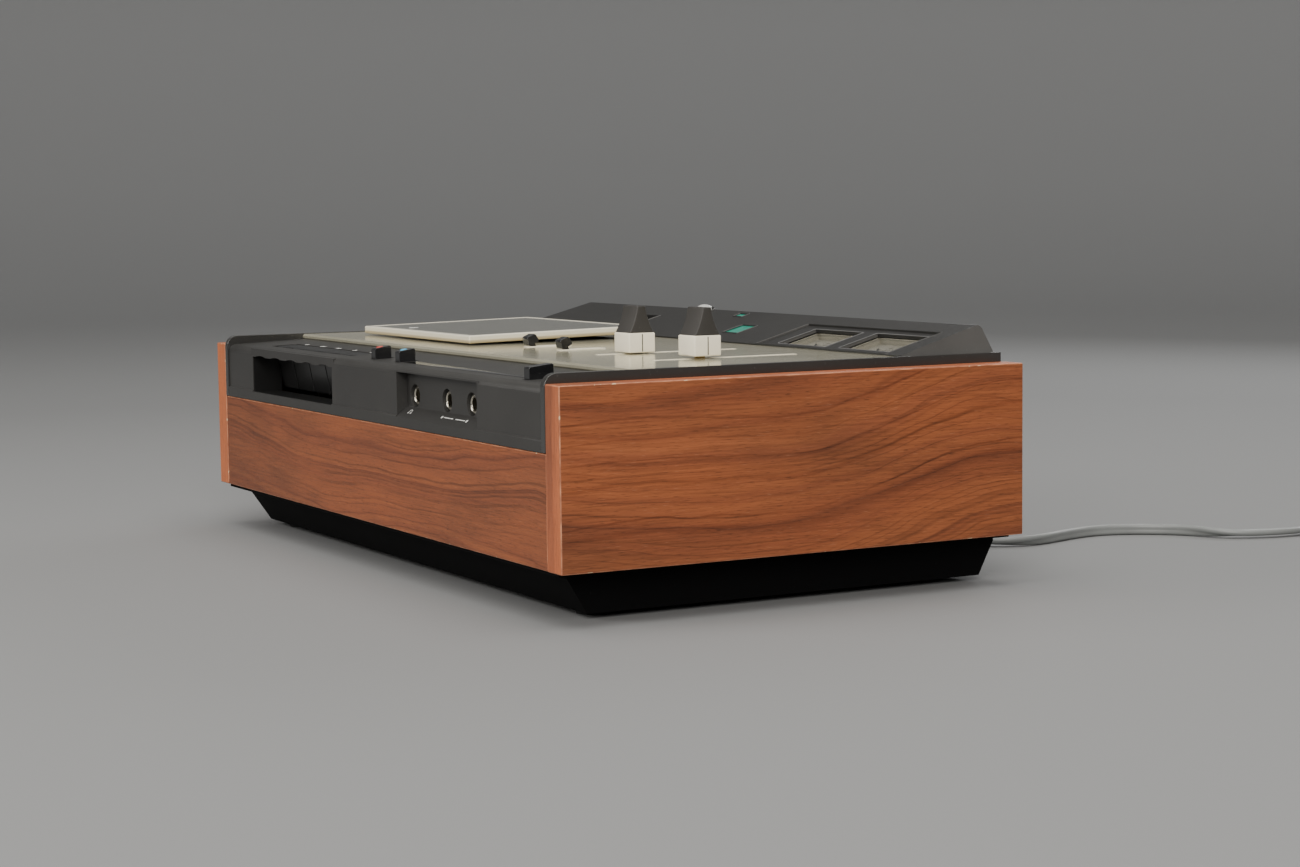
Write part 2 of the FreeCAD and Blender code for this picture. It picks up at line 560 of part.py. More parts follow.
def piano_keys():
    pivot_y, pivot_z = KEY_PIVOT
    pitch = size("keys_span") / size("key_count")
    profile = [(-108.3, 105.5, 2.2), (-95.7, 106.2, 0.6), (-95.7, 98, 2), (pivot_y + 5, 96.5, 3),
               (pivot_y + 5, 88.5, 2), (-94, 88.5, 3), (-100.5, 82.2, 0.8), (-103.3, 82.2, 0.8), (-106.2, 97)]
    for i, name in enumerate(KEY_NAMES):
        left = size("keys_left") + pitch * i + size("key_gap") / 2
        blank = padded(f"{name}_blank", "YZ_Plane", outline(profile), "keys_span/key_count - key_gap", (left, 0, 0))
        hole = cylinder(f"{name}_hole", "key_shaft_radius + 0.05", 40, (left - 5, pivot_y, pivot_z), (1, 0, 0))
        node(cut(name, blank, [hole]), name)
    node(cylinder("key_shaft", "key_shaft_radius", "keys_span + 8", ("keys_left - 4", pivot_y, pivot_z), (1, 0, 0)),
         "key_shaft")
    cheeks = [box(f"key_cheek_{i}", (1.5, 20, 36), (x, pivot_y - 12, 64)) for i, x in
              enumerate((size("keys_left") - 3.5, size("keys_left") + size("keys_span") + 2))]
    shelf = box("key_shelf", ("keys_span + 7", 20, 1.5), ("keys_left - 3.5", pivot_y - 12, 64))
    posts = [box(f"key_post_{i}", (8, 20, f"64.1 - {PAN_TOP}"), (x, pivot_y - 12, PAN_TOP))
             for i, x in enumerate((-160, -56))]
    bores = [cylinder("key_bores", "key_shaft_radius", 200, (-200, pivot_y, pivot_z), (1, 0, 0))]
    node(cut("key_bracket", fuse("key_bracket_body", [*cheeks, shelf, *posts]), bores), "key_bracket")
    coils = []
    for i in range(len(KEY_NAMES)):
        x = size("keys_left") + pitch * (i + 0.5)
        tube = cylinder(f"key_coil_{i}", 2.4, 22.9, (x, pivot_y + 2, 65.5))
        coils.append(cut(f"key_spring_{i}", tube, [cylinder(f"key_coil_bore_{i}", 1.7, 40, (x, pivot_y + 2, 60))]))
    node(group("key_springs", coils), "key_springs")


def paddle(name, x, long):
    """A short paddle that rocks on a pin under the strip."""
    middle, rear = size("paddle_y"), size("paddle_rear")
    front = rear - size(long)
    profile = [(front, 104.2), (front, 111.2, 0.8), (rear, 112.6, 1.0), (rear, 104.2), (middle + 3, 102),
               (middle + 3, 98.2, 2.4), (middle - 3, 98.2, 2.4), (middle - 3, 102)]
    blank = padded(f"{name}_blank", "YZ_Plane", outline(profile), "paddle_wide", (x - size("paddle_wide") / 2, 0, 0))
    hole = cylinder(f"{name}_hole", 1.25, 20, (x - 10, middle, 101), (1, 0, 0))
    node(cut(name, blank, [hole]), name)


def switch_body(name, x, middle, long, low, top, room):
    """A switch case with an open pocket on top and a pin across it."""
    case = box(f"{name}_case", (12, long, top - low), (x - 6, middle - long / 2, low))
    pocket = box(f"{name}_pocket", (7.4, long - 2.6, room + 1), (x - 3.7, middle - long / 2 + 1.3, top - room))
    return cut(f"{name}_hollow", case, [pocket])


def levers_and_switches():
    cases = []
    for name, (x, long) in PADDLES.items():
        paddle(name, x, long)
        hollow = switch_body(f"{name}_switch", x, size("paddle_y") + 0.6, 16, 84, 102.3, 6.1)
        pin = cylinder(f"{name}_pin", 1.2, 9, (x - 4.5, size("paddle_y"), 101), (1, 0, 0))
        cases.append(fuse(f"{name}_switch", [hollow, pin]))
    lean, pivot_y, pivot_z = size("toggle_lean"), size("toggle_y"), size("toggle_z")
    for side, x in TOGGLES.items():
        stem = box(f"toggle_stem_{side}", (2, 2.6, 24), (x - 1, pivot_y - 1.3, pivot_z))
        eye = cylinder(f"toggle_eye_{side}", 3, 2, (x - 1, pivot_y, pivot_z), (1, 0, 0))
        tip = [(pivot_y - 3.3, pivot_z + 23.5, 1), (pivot_y + 3.3, pivot_z + 23.5, 1),
               (pivot_y + 2.6, pivot_z + 28.2, 1.2), (pivot_y - 2.6, pivot_z + 28.2, 1.2)]
        head = padded(f"toggle_head_{side}", "YZ_Plane", outline(tip), 6.2, (x - 3.1, 0, 0))
        bore = cylinder(f"toggle_bore_{side}", 1.25, 10, (x - 5, pivot_y, pivot_z), (1, 0, 0))
        lever = cut(f"toggle_lever_{side}", fuse(f"toggle_solid_{side}", [stem, eye, head]), [bore])
        lever.Placement = FreeCAD.Placement(FreeCAD.Vector(0, 0, 0), about_x(lean),
                                            FreeCAD.Vector(0, pivot_y, pivot_z))
        node(lever, f"toggle_lever_{side}")
        hollow = switch_body(f"toggle_switch_{side}", x, pivot_y, 26, 78, 106.8, 20)
        pin = cylinder(f"toggle_pin_{side}", 1.2, 9, (x - 4.5, pivot_y, pivot_z), (1, 0, 0))
        cases.append(fuse(f"toggle_case_{side}", [hollow, pin]))
    node(group("lever_switches", cases), "lever_switches")


def faders():
    pots = []
    wide, long = size("fader_wide"), size("fader_long")
    for side, x in FADERS.items():
        rest = FADER_REST[side]
        low = size("floor_gap") + size("plate_top") + (0.6 if side == "left" else 1.4)
        skirt = soften(f"fader_skirt_{side}", box(f"fader_skirt_block_{side}", (wide, long, "skirt_high"),
                                                  (x - wide / 2, rest - long / 2, low)), "wood_soften")
        foot, ridge, high = long / 2 - 0.5, 2.1, size("grip_high")
        base = low + size("skirt_high") - 0.3
        corner = [FreeCAD.Vector(u, v, 0) for u, v in ((rest - foot, base), (rest + foot, base),
                                                      (rest + ridge, base + high),
                                                      (rest - ridge, base + high))]
        waist = [FreeCAD.Vector(rest + s * 3.7, base + 0.52 * high, 0) for s in (-1, 1)]
        edges = [Part.LineSegment(corner[0], corner[1]), Part.Arc(corner[1], waist[1], corner[2]),
                 Part.LineSegment(corner[2], corner[3]), Part.Arc(corner[3], waist[0], corner[0])]
        grip = padded(f"fader_grip_{side}", "YZ_Plane", edges, wide - 1, (x - wide / 2 + 0.5, 0, 0))
        socket = box(f"fader_socket_{side}", (1.2, 5, 8), (x - 0.6, rest - 2.5, low - 1))
        node(cut(f"fader_knob_{side}", fuse(f"fader_solid_{side}", [skirt, grip]), [socket]), f"fader_knob_{side}")
        node(box(f"fader_tang_{side}", (1.2, 5, low + 7 - 98), (x - 0.6, rest - 2.5, 98)), f"fader_tang_{side}")
        case = box(f"pot_case_{side}", (13, "fader_travel + 36", 11), (x - 6.5, "fader_front - 7", 95.8))
        track = box(f"pot_track_{side}", (3.4, "fader_travel + 24", 12), (x - 1.7, "fader_front - 1", 97.4))
        pots.append(cut(f"slide_pot_{side}", case, [track]))
    node(group("slide_pots", pots), "slide_pots")


def phone_jacks():
    made = []
    for x in JACKS:
        face, z = f"({FRONT} + fascia_set + 9.4)", "floor_gap + jack_high"
        bush = cylinder(f"jack_bush_{x}", 4.8, 9, (x, f"{face} - 2.2", z), (0, 1, 0))
        case = box(f"jack_case_{x}", (14, 26, 15), (x - 7, face, "floor_gap + jack_high - 7.5"))
        bore = cylinder(f"jack_bore_{x}", 3.2, 24, (x, f"{face} - 3", z), (0, 1, 0))
        made.append(cut(f"phone_jack_{x}", fuse(f"jack_solid_{x}", [bush, case]), [bore]))
    node(group("phone_jacks", made), "phone_jacks")


# ---------------------------------------------------------------- chassis, drive and electronics

MOTOR = (-132, 12)
BELT_LOW, BELT_HIGH = 61.5, 66.5
TRANSPORT_LOW = 80.5                           # underside of the plate that carries the drive
BEARING_LOW = TRANSPORT_LOW - 4.5              # where the tools that bore its bearings start
BOARD_LOW, BOARD_THICK = 36, 1.6               # the circuit board above the floor


def chassis():
    low, front = "floor_gap + pan_lift", f"{FRONT} + chassis_front"
    left, wide = f"chassis_side - {INNER}", f"2*({INNER} - chassis_side)"
    long = f"{PANEL_Y} - {FRONT} - chassis_front - 0.2"
    pan = box("chassis_pan", (wide, long, "sheet_steel"), (left, front, low))
    rear = box("chassis_rear", (wide, "sheet_steel", 72), (left, f"{PANEL_Y} - sheet_steel - 0.2", low))
    sides = [box(f"chassis_side_{i}", ("sheet_steel", long, 50), (x, front, low))
             for i, x in enumerate((left, f"{INNER} - chassis_side - sheet_steel"))]
    posts = [cylinder(f"chassis_post_{i}", 4, f"{TRANSPORT_LOW} - {PAN_TOP} + 0.5", (x, y, f"{PAN_TOP} - 0.5"))
             for i, (x, y) in enumerate(((-152, -38), (-34, -41), (-152, 40), (-40, 40)))]
    holes = [cylinder(f"flange_hole_{i}", 1.8, 12, (x, f"{PANEL_Y} - 6", z), (0, 1, 0))
             for i, (x, z) in enumerate(SCREWS)]
    holes += [cylinder(f"flange_socket_{x}_{z}", 7, 12, (x, f"{PANEL_Y} - 6", z), (0, 1, 0)) for x, z in SOCKETS]
    holes.append(cylinder("flange_cord", 9, 12, (CORD_X, f"{PANEL_Y} - 6", CORD_Z), (0, 1, 0)))
    node(cut("chassis", fuse("chassis_body", [pan, rear, *sides, *posts]), holes), "chassis")


def transport():
    sheet_metal = box("transport_sheet", (126, 90, "sheet_steel"), (-158, -44, TRANSPORT_LOW))
    holes = [cylinder(f"reel_bearing_{i}", 2.55, 10, (x, SPINDLE_Y, BEARING_LOW)) for i, x in enumerate(reel_x())]
    holes.append(cylinder("capstan_bearing", "capstan_radius + 0.05", 10, (*CAPSTAN, BEARING_LOW)))
    node(cut("transport_plate", sheet_metal, holes), "transport_plate")
    for side, x in zip(("left", "right"), reel_x()):
        profile = [(0, 72), (14, 72), (14, 78.5, 0.6), (4.4, 79.8), (2.5, 79.8), (2.5, 84), (5.4, 84), (5.4, 92),
                   (4.0, 92), (4.0, 99, 1.5), (0, 101.5)]
        hub = turned(f"reel_hub_{side}", profile, (x, SPINDLE_Y, 0))
        blade = [(0, -0.5), (5.2, -0.5), (5.2, 0.5), (0, 0.5)]
        fins = [padded(f"reel_fin_{side}_{i}", "XY_Plane", outline(blade), 8.5, (x, SPINDLE_Y, 90),
                       FreeCAD.Rotation(FreeCAD.Vector(0, 0, 1), 120 * i)) for i in range(3)]
        node(fuse(f"reel_spindle_{side}", [hub, *fins]), f"reel_spindle_{side}")
    rim, shaft = size("flywheel_radius"), size("capstan_radius")
    wheel = [(0, 56), (2.2, 56), (2.2, 59.5), (rim, 59.5, 0.8), (rim, 68.5, 0.8), (8, 68.5), (7, 72),
             (shaft, 72), (shaft, 101, 0.4), (0, 101)]
    node(turned("flywheel", wheel, (*CAPSTAN, 0)), "flywheel")
    can = cylinder("motor_can", 17.5, 30, (*MOTOR, 28))
    spindle = cylinder("motor_shaft", 1, 12.5, (*MOTOR, 58))
    mount = box("motor_mount", (40, 40, 1.5), (MOTOR[0] - 20, MOTOR[1] - 20, PAN_TOP))
    node(fuse("motor", [can, spindle, mount]), "motor")
    pulley = [(1.05, 59), (5.8, 59), (5.8, 61), (size("pulley_radius"), 61.5), (size("pulley_radius"), 67),
              (5.8, 67.5), (5.8, 69), (1.05, 69)]
    node(turned("motor_pulley", pulley, (*MOTOR, 0)), "motor_pulley")


def belt_outline(gap):
    """The belt's loop round the pulley and the flywheel, a gap outside their rims."""
    near, far = FreeCAD.Vector(*MOTOR, 0), FreeCAD.Vector(*CAPSTAN, 0)
    small, large = size("pulley_radius") + gap, size("flywheel_radius") + gap
    along = far - near
    bearing = math.atan2(along.y, along.x)
    turn = math.acos((small - large) / along.Length)
    edges, ends = [], []
    for centre, radius, outward in ((near, small, bearing + math.pi), (far, large, bearing)):
        rim = [centre + FreeCAD.Vector(math.cos(a), math.sin(a), 0) * radius
               for a in (bearing + turn, outward, bearing - turn)]
        edges.append(Part.Arc(*rim))
        ends.append(rim)
    edges.append(Part.LineSegment(ends[0][0], ends[1][0]))
    edges.append(Part.LineSegment(ends[0][2], ends[1][2]))
    return edges


def drive_belt():
    high = BELT_HIGH - BELT_LOW
    outer = padded("belt_outer", "XY_Plane", belt_outline(1.0), high, (0, 0, BELT_LOW))
    inner = padded("belt_inner", "XY_Plane", belt_outline(0.3), high + 2, (0, 0, BELT_LOW - 1))
    node(cut("drive_belt", outer, [inner]), "drive_belt")


def head_carriage():
    plate = box("carriage_plate", (104, 14, 1.5), (-147, -44, 84.2))
    arm = box("carriage_arm", (14, 12.4, 1.5), (ROLLER[0] - 2, ROLLER[1] - 7.4, 84.2))
    axle = cylinder("roller_axle", 1.5, 17, (*ROLLER, 84.5))
    node(fuse("head_carriage", [plate, arm, axle]), "head_carriage")
    blocks = []
    for name, x, wide, deep in (("play", size("cassette_x") - 7, 14, 11), ("erase", size("cassette_x") - 40, 10, 8)):
        block = box(f"{name}_head_block", (wide, deep, 13.5), (x, -40.5, 85.7))
        blocks.append(soften(f"{name}_head", block, "wood_soften"))
    node(group("tape_heads", blocks), "tape_heads")
    tyre = [(1.55, 91), (4, 91), (size("roller_radius"), 91.4, 0.5), (size("roller_radius"), 100.2, 0.5),
            (4, 100.6), (1.55, 100.6)]
    node(turned("pinch_roller", tyre, (*ROLLER, 0)), "pinch_roller")


def electronics():
    core = box("transformer_core", (52, 44, 40), (-196, 58, 29))
    coil = box("transformer_coil", (34, 62, 32), (-187, 46, 33))
    foot = box("transformer_foot", (64, 44, 2.5), (-200, 58, PAN_TOP))
    node(fuse("transformer", [core, coil, foot]), "transformer")
    part_z = BOARD_LOW + BOARD_THICK - 0.2         # the components sink into the board by 0.2
    pcb = box("board_sheet", (150, 130, BOARD_THICK), (40, -60, BOARD_LOW))
    legs = [cylinder(f"board_leg_{i}", 3, f"{BOARD_LOW} - {PAN_TOP}", (x, y, PAN_TOP)) for i, (x, y) in
            enumerate(((46, -54), (184, -54), (46, 64), (184, 64)))]
    cans = [cylinder(f"capacitor_{i}", r, high, (x, y, part_z)) for i, (x, y, r, high) in
            enumerate(((60, 50, 9, 30), (82, 52, 9, 30), (105, 48, 6, 18), (150, 50, 5, 14), (165, 40, 5, 14)))]
    chips = [box(f"chip_{i}", (18, 7, 4), (62 + 30 * i, -10, part_z)) for i in range(4)]
    cans += [box(f"shield_{i}", (16, 16, 20), (64 + 34 * i, -46, part_z)) for i in range(3)]
    node(fuse("circuit_board", [pcb, *legs, *cans, *chips]), "circuit_board")


def rear_sockets():
    made = []
    for x, z in SOCKETS:
        face = f"({PANEL_Y} + sheet_steel)"
        barrel = cylinder(f"phono_barrel_{x}_{z}", 4.15, 8.2, (x, f"{face} - 0.2", z), (0, 1, 0))
        collar = cylinder(f"phono_collar_{x}_{z}", 5.6, 1, (x, face, z), (0, 1, 0))
        tail = cylinder(f"phono_tail_{x}_{z}", 4.15, 12, (x, f"{face} - 12", z), (0, 1, 0))
        bore = cylinder(f"phono_bore_{x}_{z}", 1.6, 9, (x, f"{face} - 0.5", z), (0, 1, 0))
        made.append(cut(f"phono_socket_{x}_{z}", fuse(f"phono_{x}_{z}", [barrel, collar, tail]), [bore]))
    node(group("phono_sockets", made), "phono_sockets")


# ---------------------------------------------------------------- mains cord

RELIEF_LONG = 28                               # from the rear panel to the bare cord
CORD_ROUTE = [(24, 142, 40), (24, 160, 38), (30, 174, 30), (46, 180, 16), (68, 176, 5), (90, 176, 3),
              (110, 188, 3), (119, 210, 3), (108, 241, 3), (104, 264, 3), (113, 284, 3), (129, 302, 3),
              (152, 311, 3), (163.5, 338, 3), (166.5, 366, 3)]
COIL = (200, 393)                              # middle of the wound length
PLUG = (234, 380)


def tube(name, route, radius):
    """A round tube along straight runs joined by the largest tangent arcs their runs allow."""
    points = [FreeCAD.Vector(*p) for p in route]
    listed = []
    for i, point in enumerate(points):
        if i in (0, len(points) - 1):
            listed.append((*point,))
            continue
        back, on = points[i - 1] - point, points[i + 1] - point
        turn = math.pi - back.getAngle(on)
        arc = 0.45 * min(back.Length, on.Length) / math.tan(turn / 2)
        listed.append((*point, arc))
    path = Part.Wire([edge.toShape() for edge in rounded(listed, closed=False)])
    start = points[0]
    ring = Part.Circle(start, points[1] - start, radius)
    section = Part.Wire([ring.toShape()])
    solid = path.makePipeShell([section], True, True)
    thing = doc.addObject("Part::Feature", name)
    thing.Shape = solid
    return thing


def mains_cord():
    face = f"({PANEL_Y} + sheet_steel)"
    flange = cylinder("relief_flange", 8.5, 2.4, (CORD_X, face, CORD_Z), (0, 1, 0))
    neck = cylinder("relief_neck", 6.2, 10, (CORD_X, f"{face} - 8", CORD_Z), (0, 1, 0))
    taper = cone("relief_taper", 5.8, "cord_radius + 0.9", RELIEF_LONG, (CORD_X, face, CORD_Z), (0, 1, 0))
    node(fuse("relief_body", [flange, neck, taper]), "strain_relief")
    node(tube("power_cord", CORD_ROUTE, size("cord_radius")), "power_cord")

    middle, half, high = size("coil_radius"), size("coil_wide") / 2, size("coil_thick")
    ring = [(middle - half, 0, 3), (middle + half, 0, 3), (middle + half, high, 3), (middle - half, high, 3)]
    node(turned("cord_coil", ring, (*COIL, 0)), "cord_coil")

    block = soften("plug_body", box("plug_block", (24, 33, 15), (PLUG[0] - 12, PLUG[1] - 16, "coil_thick")),
                   "plug_soften")
    height = "coil_thick + 7.5"
    neck = cone("plug_neck", 6, "cord_radius + 0.8", 15, (PLUG[0], PLUG[1] + 16, height), (0, 1, 0))
    blades = [box(f"plug_blade_{i}", (1.5, 18, 6.4), (PLUG[0] + offset - 0.75, PLUG[1] - 33, f"{height} - 3.2"))
              for i, offset in enumerate((-6.35, 6.35))]
    node(fuse("plug_solid", [block, neck, *blades]), "power_plug")


cabinet()
rear_panel()
bottom_cover()
top_frame()
front_fascia()
top_plate()
meter_bridge()
meters()
tape_counter()
cassette_lid()
cassette_well()
piano_keys()
levers_and_switches()
faders()
phone_jacks()
chassis()
transport()
drive_belt()
head_carriage()
electronics()
rear_sockets()
mains_cord()

doc.recompute()
for thing in doc.Objects:
    if {"Invalid", "Error"} & set(thing.State):
        raise RuntimeError(f"{thing.Name} did not compute")
os.makedirs("parts", exist_ok=True)
for thing in nodes:
    if thing.Shape.isNull() or not thing.Shape.isValid():
        raise RuntimeError(f"{thing.Label} has no valid shape")
    thing.Shape.exportStep(f"parts/{thing.Label}.step")
print(f"{len(nodes)} sub-parts written")
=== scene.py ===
import json
import math

import bmesh
import bpy
from mathutils import Matrix, Vector


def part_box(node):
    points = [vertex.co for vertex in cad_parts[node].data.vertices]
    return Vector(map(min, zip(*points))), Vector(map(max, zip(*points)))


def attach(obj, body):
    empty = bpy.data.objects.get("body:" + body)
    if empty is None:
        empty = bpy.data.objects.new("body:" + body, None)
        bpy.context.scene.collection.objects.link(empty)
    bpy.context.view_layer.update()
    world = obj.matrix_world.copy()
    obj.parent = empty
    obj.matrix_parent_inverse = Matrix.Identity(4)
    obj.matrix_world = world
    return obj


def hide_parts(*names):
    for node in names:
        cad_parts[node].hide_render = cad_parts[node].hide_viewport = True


# The looks of a top-loading cassette deck, in metres, in the frame of its CAD model:
# +X to the deck's right seen from its front, +Y to the rear, +Z up, the floor at Z 0.

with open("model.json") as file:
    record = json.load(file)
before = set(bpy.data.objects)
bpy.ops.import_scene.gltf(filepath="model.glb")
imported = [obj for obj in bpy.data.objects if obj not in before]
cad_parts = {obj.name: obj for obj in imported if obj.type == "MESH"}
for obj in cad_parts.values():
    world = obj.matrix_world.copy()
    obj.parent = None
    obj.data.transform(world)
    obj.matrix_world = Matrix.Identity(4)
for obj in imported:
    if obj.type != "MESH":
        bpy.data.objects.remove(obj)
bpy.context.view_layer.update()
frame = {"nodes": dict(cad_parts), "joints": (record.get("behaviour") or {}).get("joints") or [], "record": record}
MM = 0.001
ROOT = "cabinet"
JOINTS = {joint["name"]: joint for joint in frame["joints"]}
MOUNTS = {mount["name"]: mount for mount in frame["record"]["mounts"]}
RIGHT, REARWARD, UP = Vector((1, 0, 0)), Vector((0, 1, 0)), Vector((0, 0, 1))


def add_object(name, data):
    """A new object, linked into the scene."""
    made = bpy.data.objects.new(name, data)
    bpy.context.scene.collection.objects.link(made)
    return made


def axes(x, y, z, at=(0, 0, 0)):
    """A matrix from its three axes and its place."""
    made = Matrix((x, y, z)).transposed().to_4x4()
    made.translation = Vector(at)
    return made


def tilted(at, angle):
    """A matrix at a point whose Y climbs by an angle."""
    return Matrix.Translation(at) @ Matrix.Rotation(angle, 4, "X")


def in_mm(points):
    return [(a * MM, b * MM) for a, b in points]


def scaled(colour, by):
    return tuple(by * c for c in colour)


# ---------------------------------------------------------------- camera, lights and floor

VIEW_ANGLES = (61.394, 5.205, -0.690)       # azimuth, elevation and roll, in degrees
VIEW_FROM = (1.15565, -0.5875, 0.180)
VIEW_LENS = 68.126


def make_camera():
    """The viewing angle: low, from the front right corner."""
    azimuth, elevation, roll = (math.radians(a) for a in VIEW_ANGLES)
    back = Vector((math.sin(azimuth) * math.cos(elevation),
                   -math.cos(azimuth) * math.cos(elevation), math.sin(elevation)))
    level = UP.cross(back).normalized()
    upright = back.cross(level)
    right = level * math.cos(roll) + upright * math.sin(roll)
    top = upright * math.cos(roll) - level * math.sin(roll)
    camera = add_object("camera", bpy.data.cameras.new("camera"))
    camera.data.sensor_width = 36
    camera.data.lens = VIEW_LENS
    camera.data.clip_start = 0.01
    camera.matrix_world = axes(right, top, back, VIEW_FROM)
    bpy.context.scene.camera = camera


def area_light(name, at, towards, size, power, colour=(1, 1, 1)):
    light = bpy.data.lights.new(name, "AREA")
    light.shape, light.size, light.size_y = "RECTANGLE", *size
    light.energy, light.color = power, colour
    lamp = add_object(name, light)
    lamp.location = at
    lamp.rotation_mode = "QUATERNION"
    lamp.rotation_quaternion = (Vector(towards) - Vector(at)).to_track_quat("-Z", "Y")
    lamp.visible_camera = False


def make_lights():
    middle = (0, 0, 0.06)
    area_light("softbox_over", (0.25, -0.15, 1.7), middle, (1.9, 1.5), 27, (1, 0.975, 0.93))
    area_light("softbox_front", (1.8, -1.05, 0.95), middle, (1.1, 0.9), 34, (1, 0.965, 0.92))
    area_light("softbox_left", (-0.6, -1.9, 0.85), middle, (1.0, 0.8), 17, (1, 0.975, 0.94))
    area_light("strip_rear", (-0.6, 1.5, 0.85), middle, (1.6, 0.4), 8)
    world = bpy.data.worlds.new("studio")
    bpy.context.scene.world = world
    world.use_nodes = True
    shade = world.node_tree.nodes["Background"]
    shade.inputs["Color"].default_value = (0.64, 0.635, 0.62, 1)
    shade.inputs["Strength"].default_value = 0.45


# ---------------------------------------------------------------- materials

class Finish:
    """A material whose nodes are added one call at a time."""

    def __init__(self, name, **values):
        self.material = bpy.data.materials.new(name)
        self.material.use_nodes = True
        self.tree = self.material.node_tree
        self.surface = self.tree.nodes["Principled BSDF"]
        for key, value in values.items():
            self.put(key.replace("_", " "), value)

    def put(self, socket, value):
        """A plain value on the shader's own socket, or a link into it."""
        self.join(self.surface.inputs[socket], value)

    def join(self, socket, value):
        if isinstance(value, bpy.types.NodeSocket):
            self.tree.links.new(value, socket)
        elif isinstance(value, tuple) and len(value) == 3 and socket.type == "RGBA":
            socket.default_value = (*value, 1)
        else:
            socket.default_value = value

    def add(self, kind, inputs=None, **settings):
        made = self.tree.nodes.new("ShaderNode" + kind)
        for key, value in settings.items():
            setattr(made, key, value)
        for key, value in (inputs or {}).items():
            self.join(made.inputs[key], value)
        return made

    def maths(self, operation, a, b=0.0, c=0.0):
        return self.add("Math", {0: a, 1: b, 2: c}, operation=operation).outputs[0]

    def noise(self, at, scale, detail=2.0, rough=0.5):
        made = self.add("TexNoise", {"Vector": at, "Scale": scale, "Detail": detail,
                                     "Roughness": rough})
        return made.outputs["Fac"]

    def bands(self, along, detail, rough=0.5):
        """Noise that changes along one number only."""
        made = self.add("TexNoise", {"W": along, "Scale": 1.0, "Detail": detail,
                                     "Roughness": rough}, noise_dimensions="1D")
        return made.outputs["Fac"]

    def ramp(self, factor, stops):
        """A colour ramp; a stop is (position, colour) or (position, grey)."""
        made = self.add("ValToRGB", {"Fac": factor})
        elements = made.color_ramp.elements
        while len(elements) < len(stops):
            elements.new(0.5)
        for element, (position, colour) in zip(elements, stops):
            if not isinstance(colour, tuple):
                colour = (colour,) * 3
            element.position = position
            element.color = (*colour, 1)
        return made.outputs["Color"]

    def mix(self, factor, a, b, blend="MIX"):
        made = self.add("Mix", data_type="RGBA", blend_type=blend)
        for socket, value in zip((made.inputs[0], made.inputs[6], made.inputs[7]), (factor, a, b)):
            self.join(socket, value)
        return made.outputs[2]

    def times(self, base, other, share=1.0):
        return self.mix(share, base, other, "MULTIPLY")

    def spread(self, value, low, high):
        """Map 0..1 to low..high."""
        return self.maths("MULTIPLY_ADD", value, high - low, low)

    def bump(self, height, strength, distance):
        made = self.add("Bump", {"Height": height, "Strength": strength, "Distance": distance})
        self.put("Normal", made.outputs["Normal"])

    def place(self):
        return self.add("TexCoord").outputs["Object"]

    def within(self, at, low, high):
        """1 inside a box given in millimetres, 0 outside it."""
        split = self.add("SeparateXYZ", {0: at})
        inside = 1.0
        for axis, near, far in zip("XYZ", low, high):
            here = self.maths("COMPARE", split.outputs[axis], (near + far) / 2 * MM,
                              (far - near) / 2 * MM)
            inside = self.maths("MULTIPLY", here, inside)
        return inside

    def share(self, value, low, high):
        """How far a value is from low to high, held between 0 and 1."""
        return self.add("MapRange", {"Value": value, "From Min": low, "From Max": high}).outputs[0]

    def stretched(self, at, scales):
        return self.add("VectorMath", {0: at, 1: scales}, operation="MULTIPLY").outputs[0]


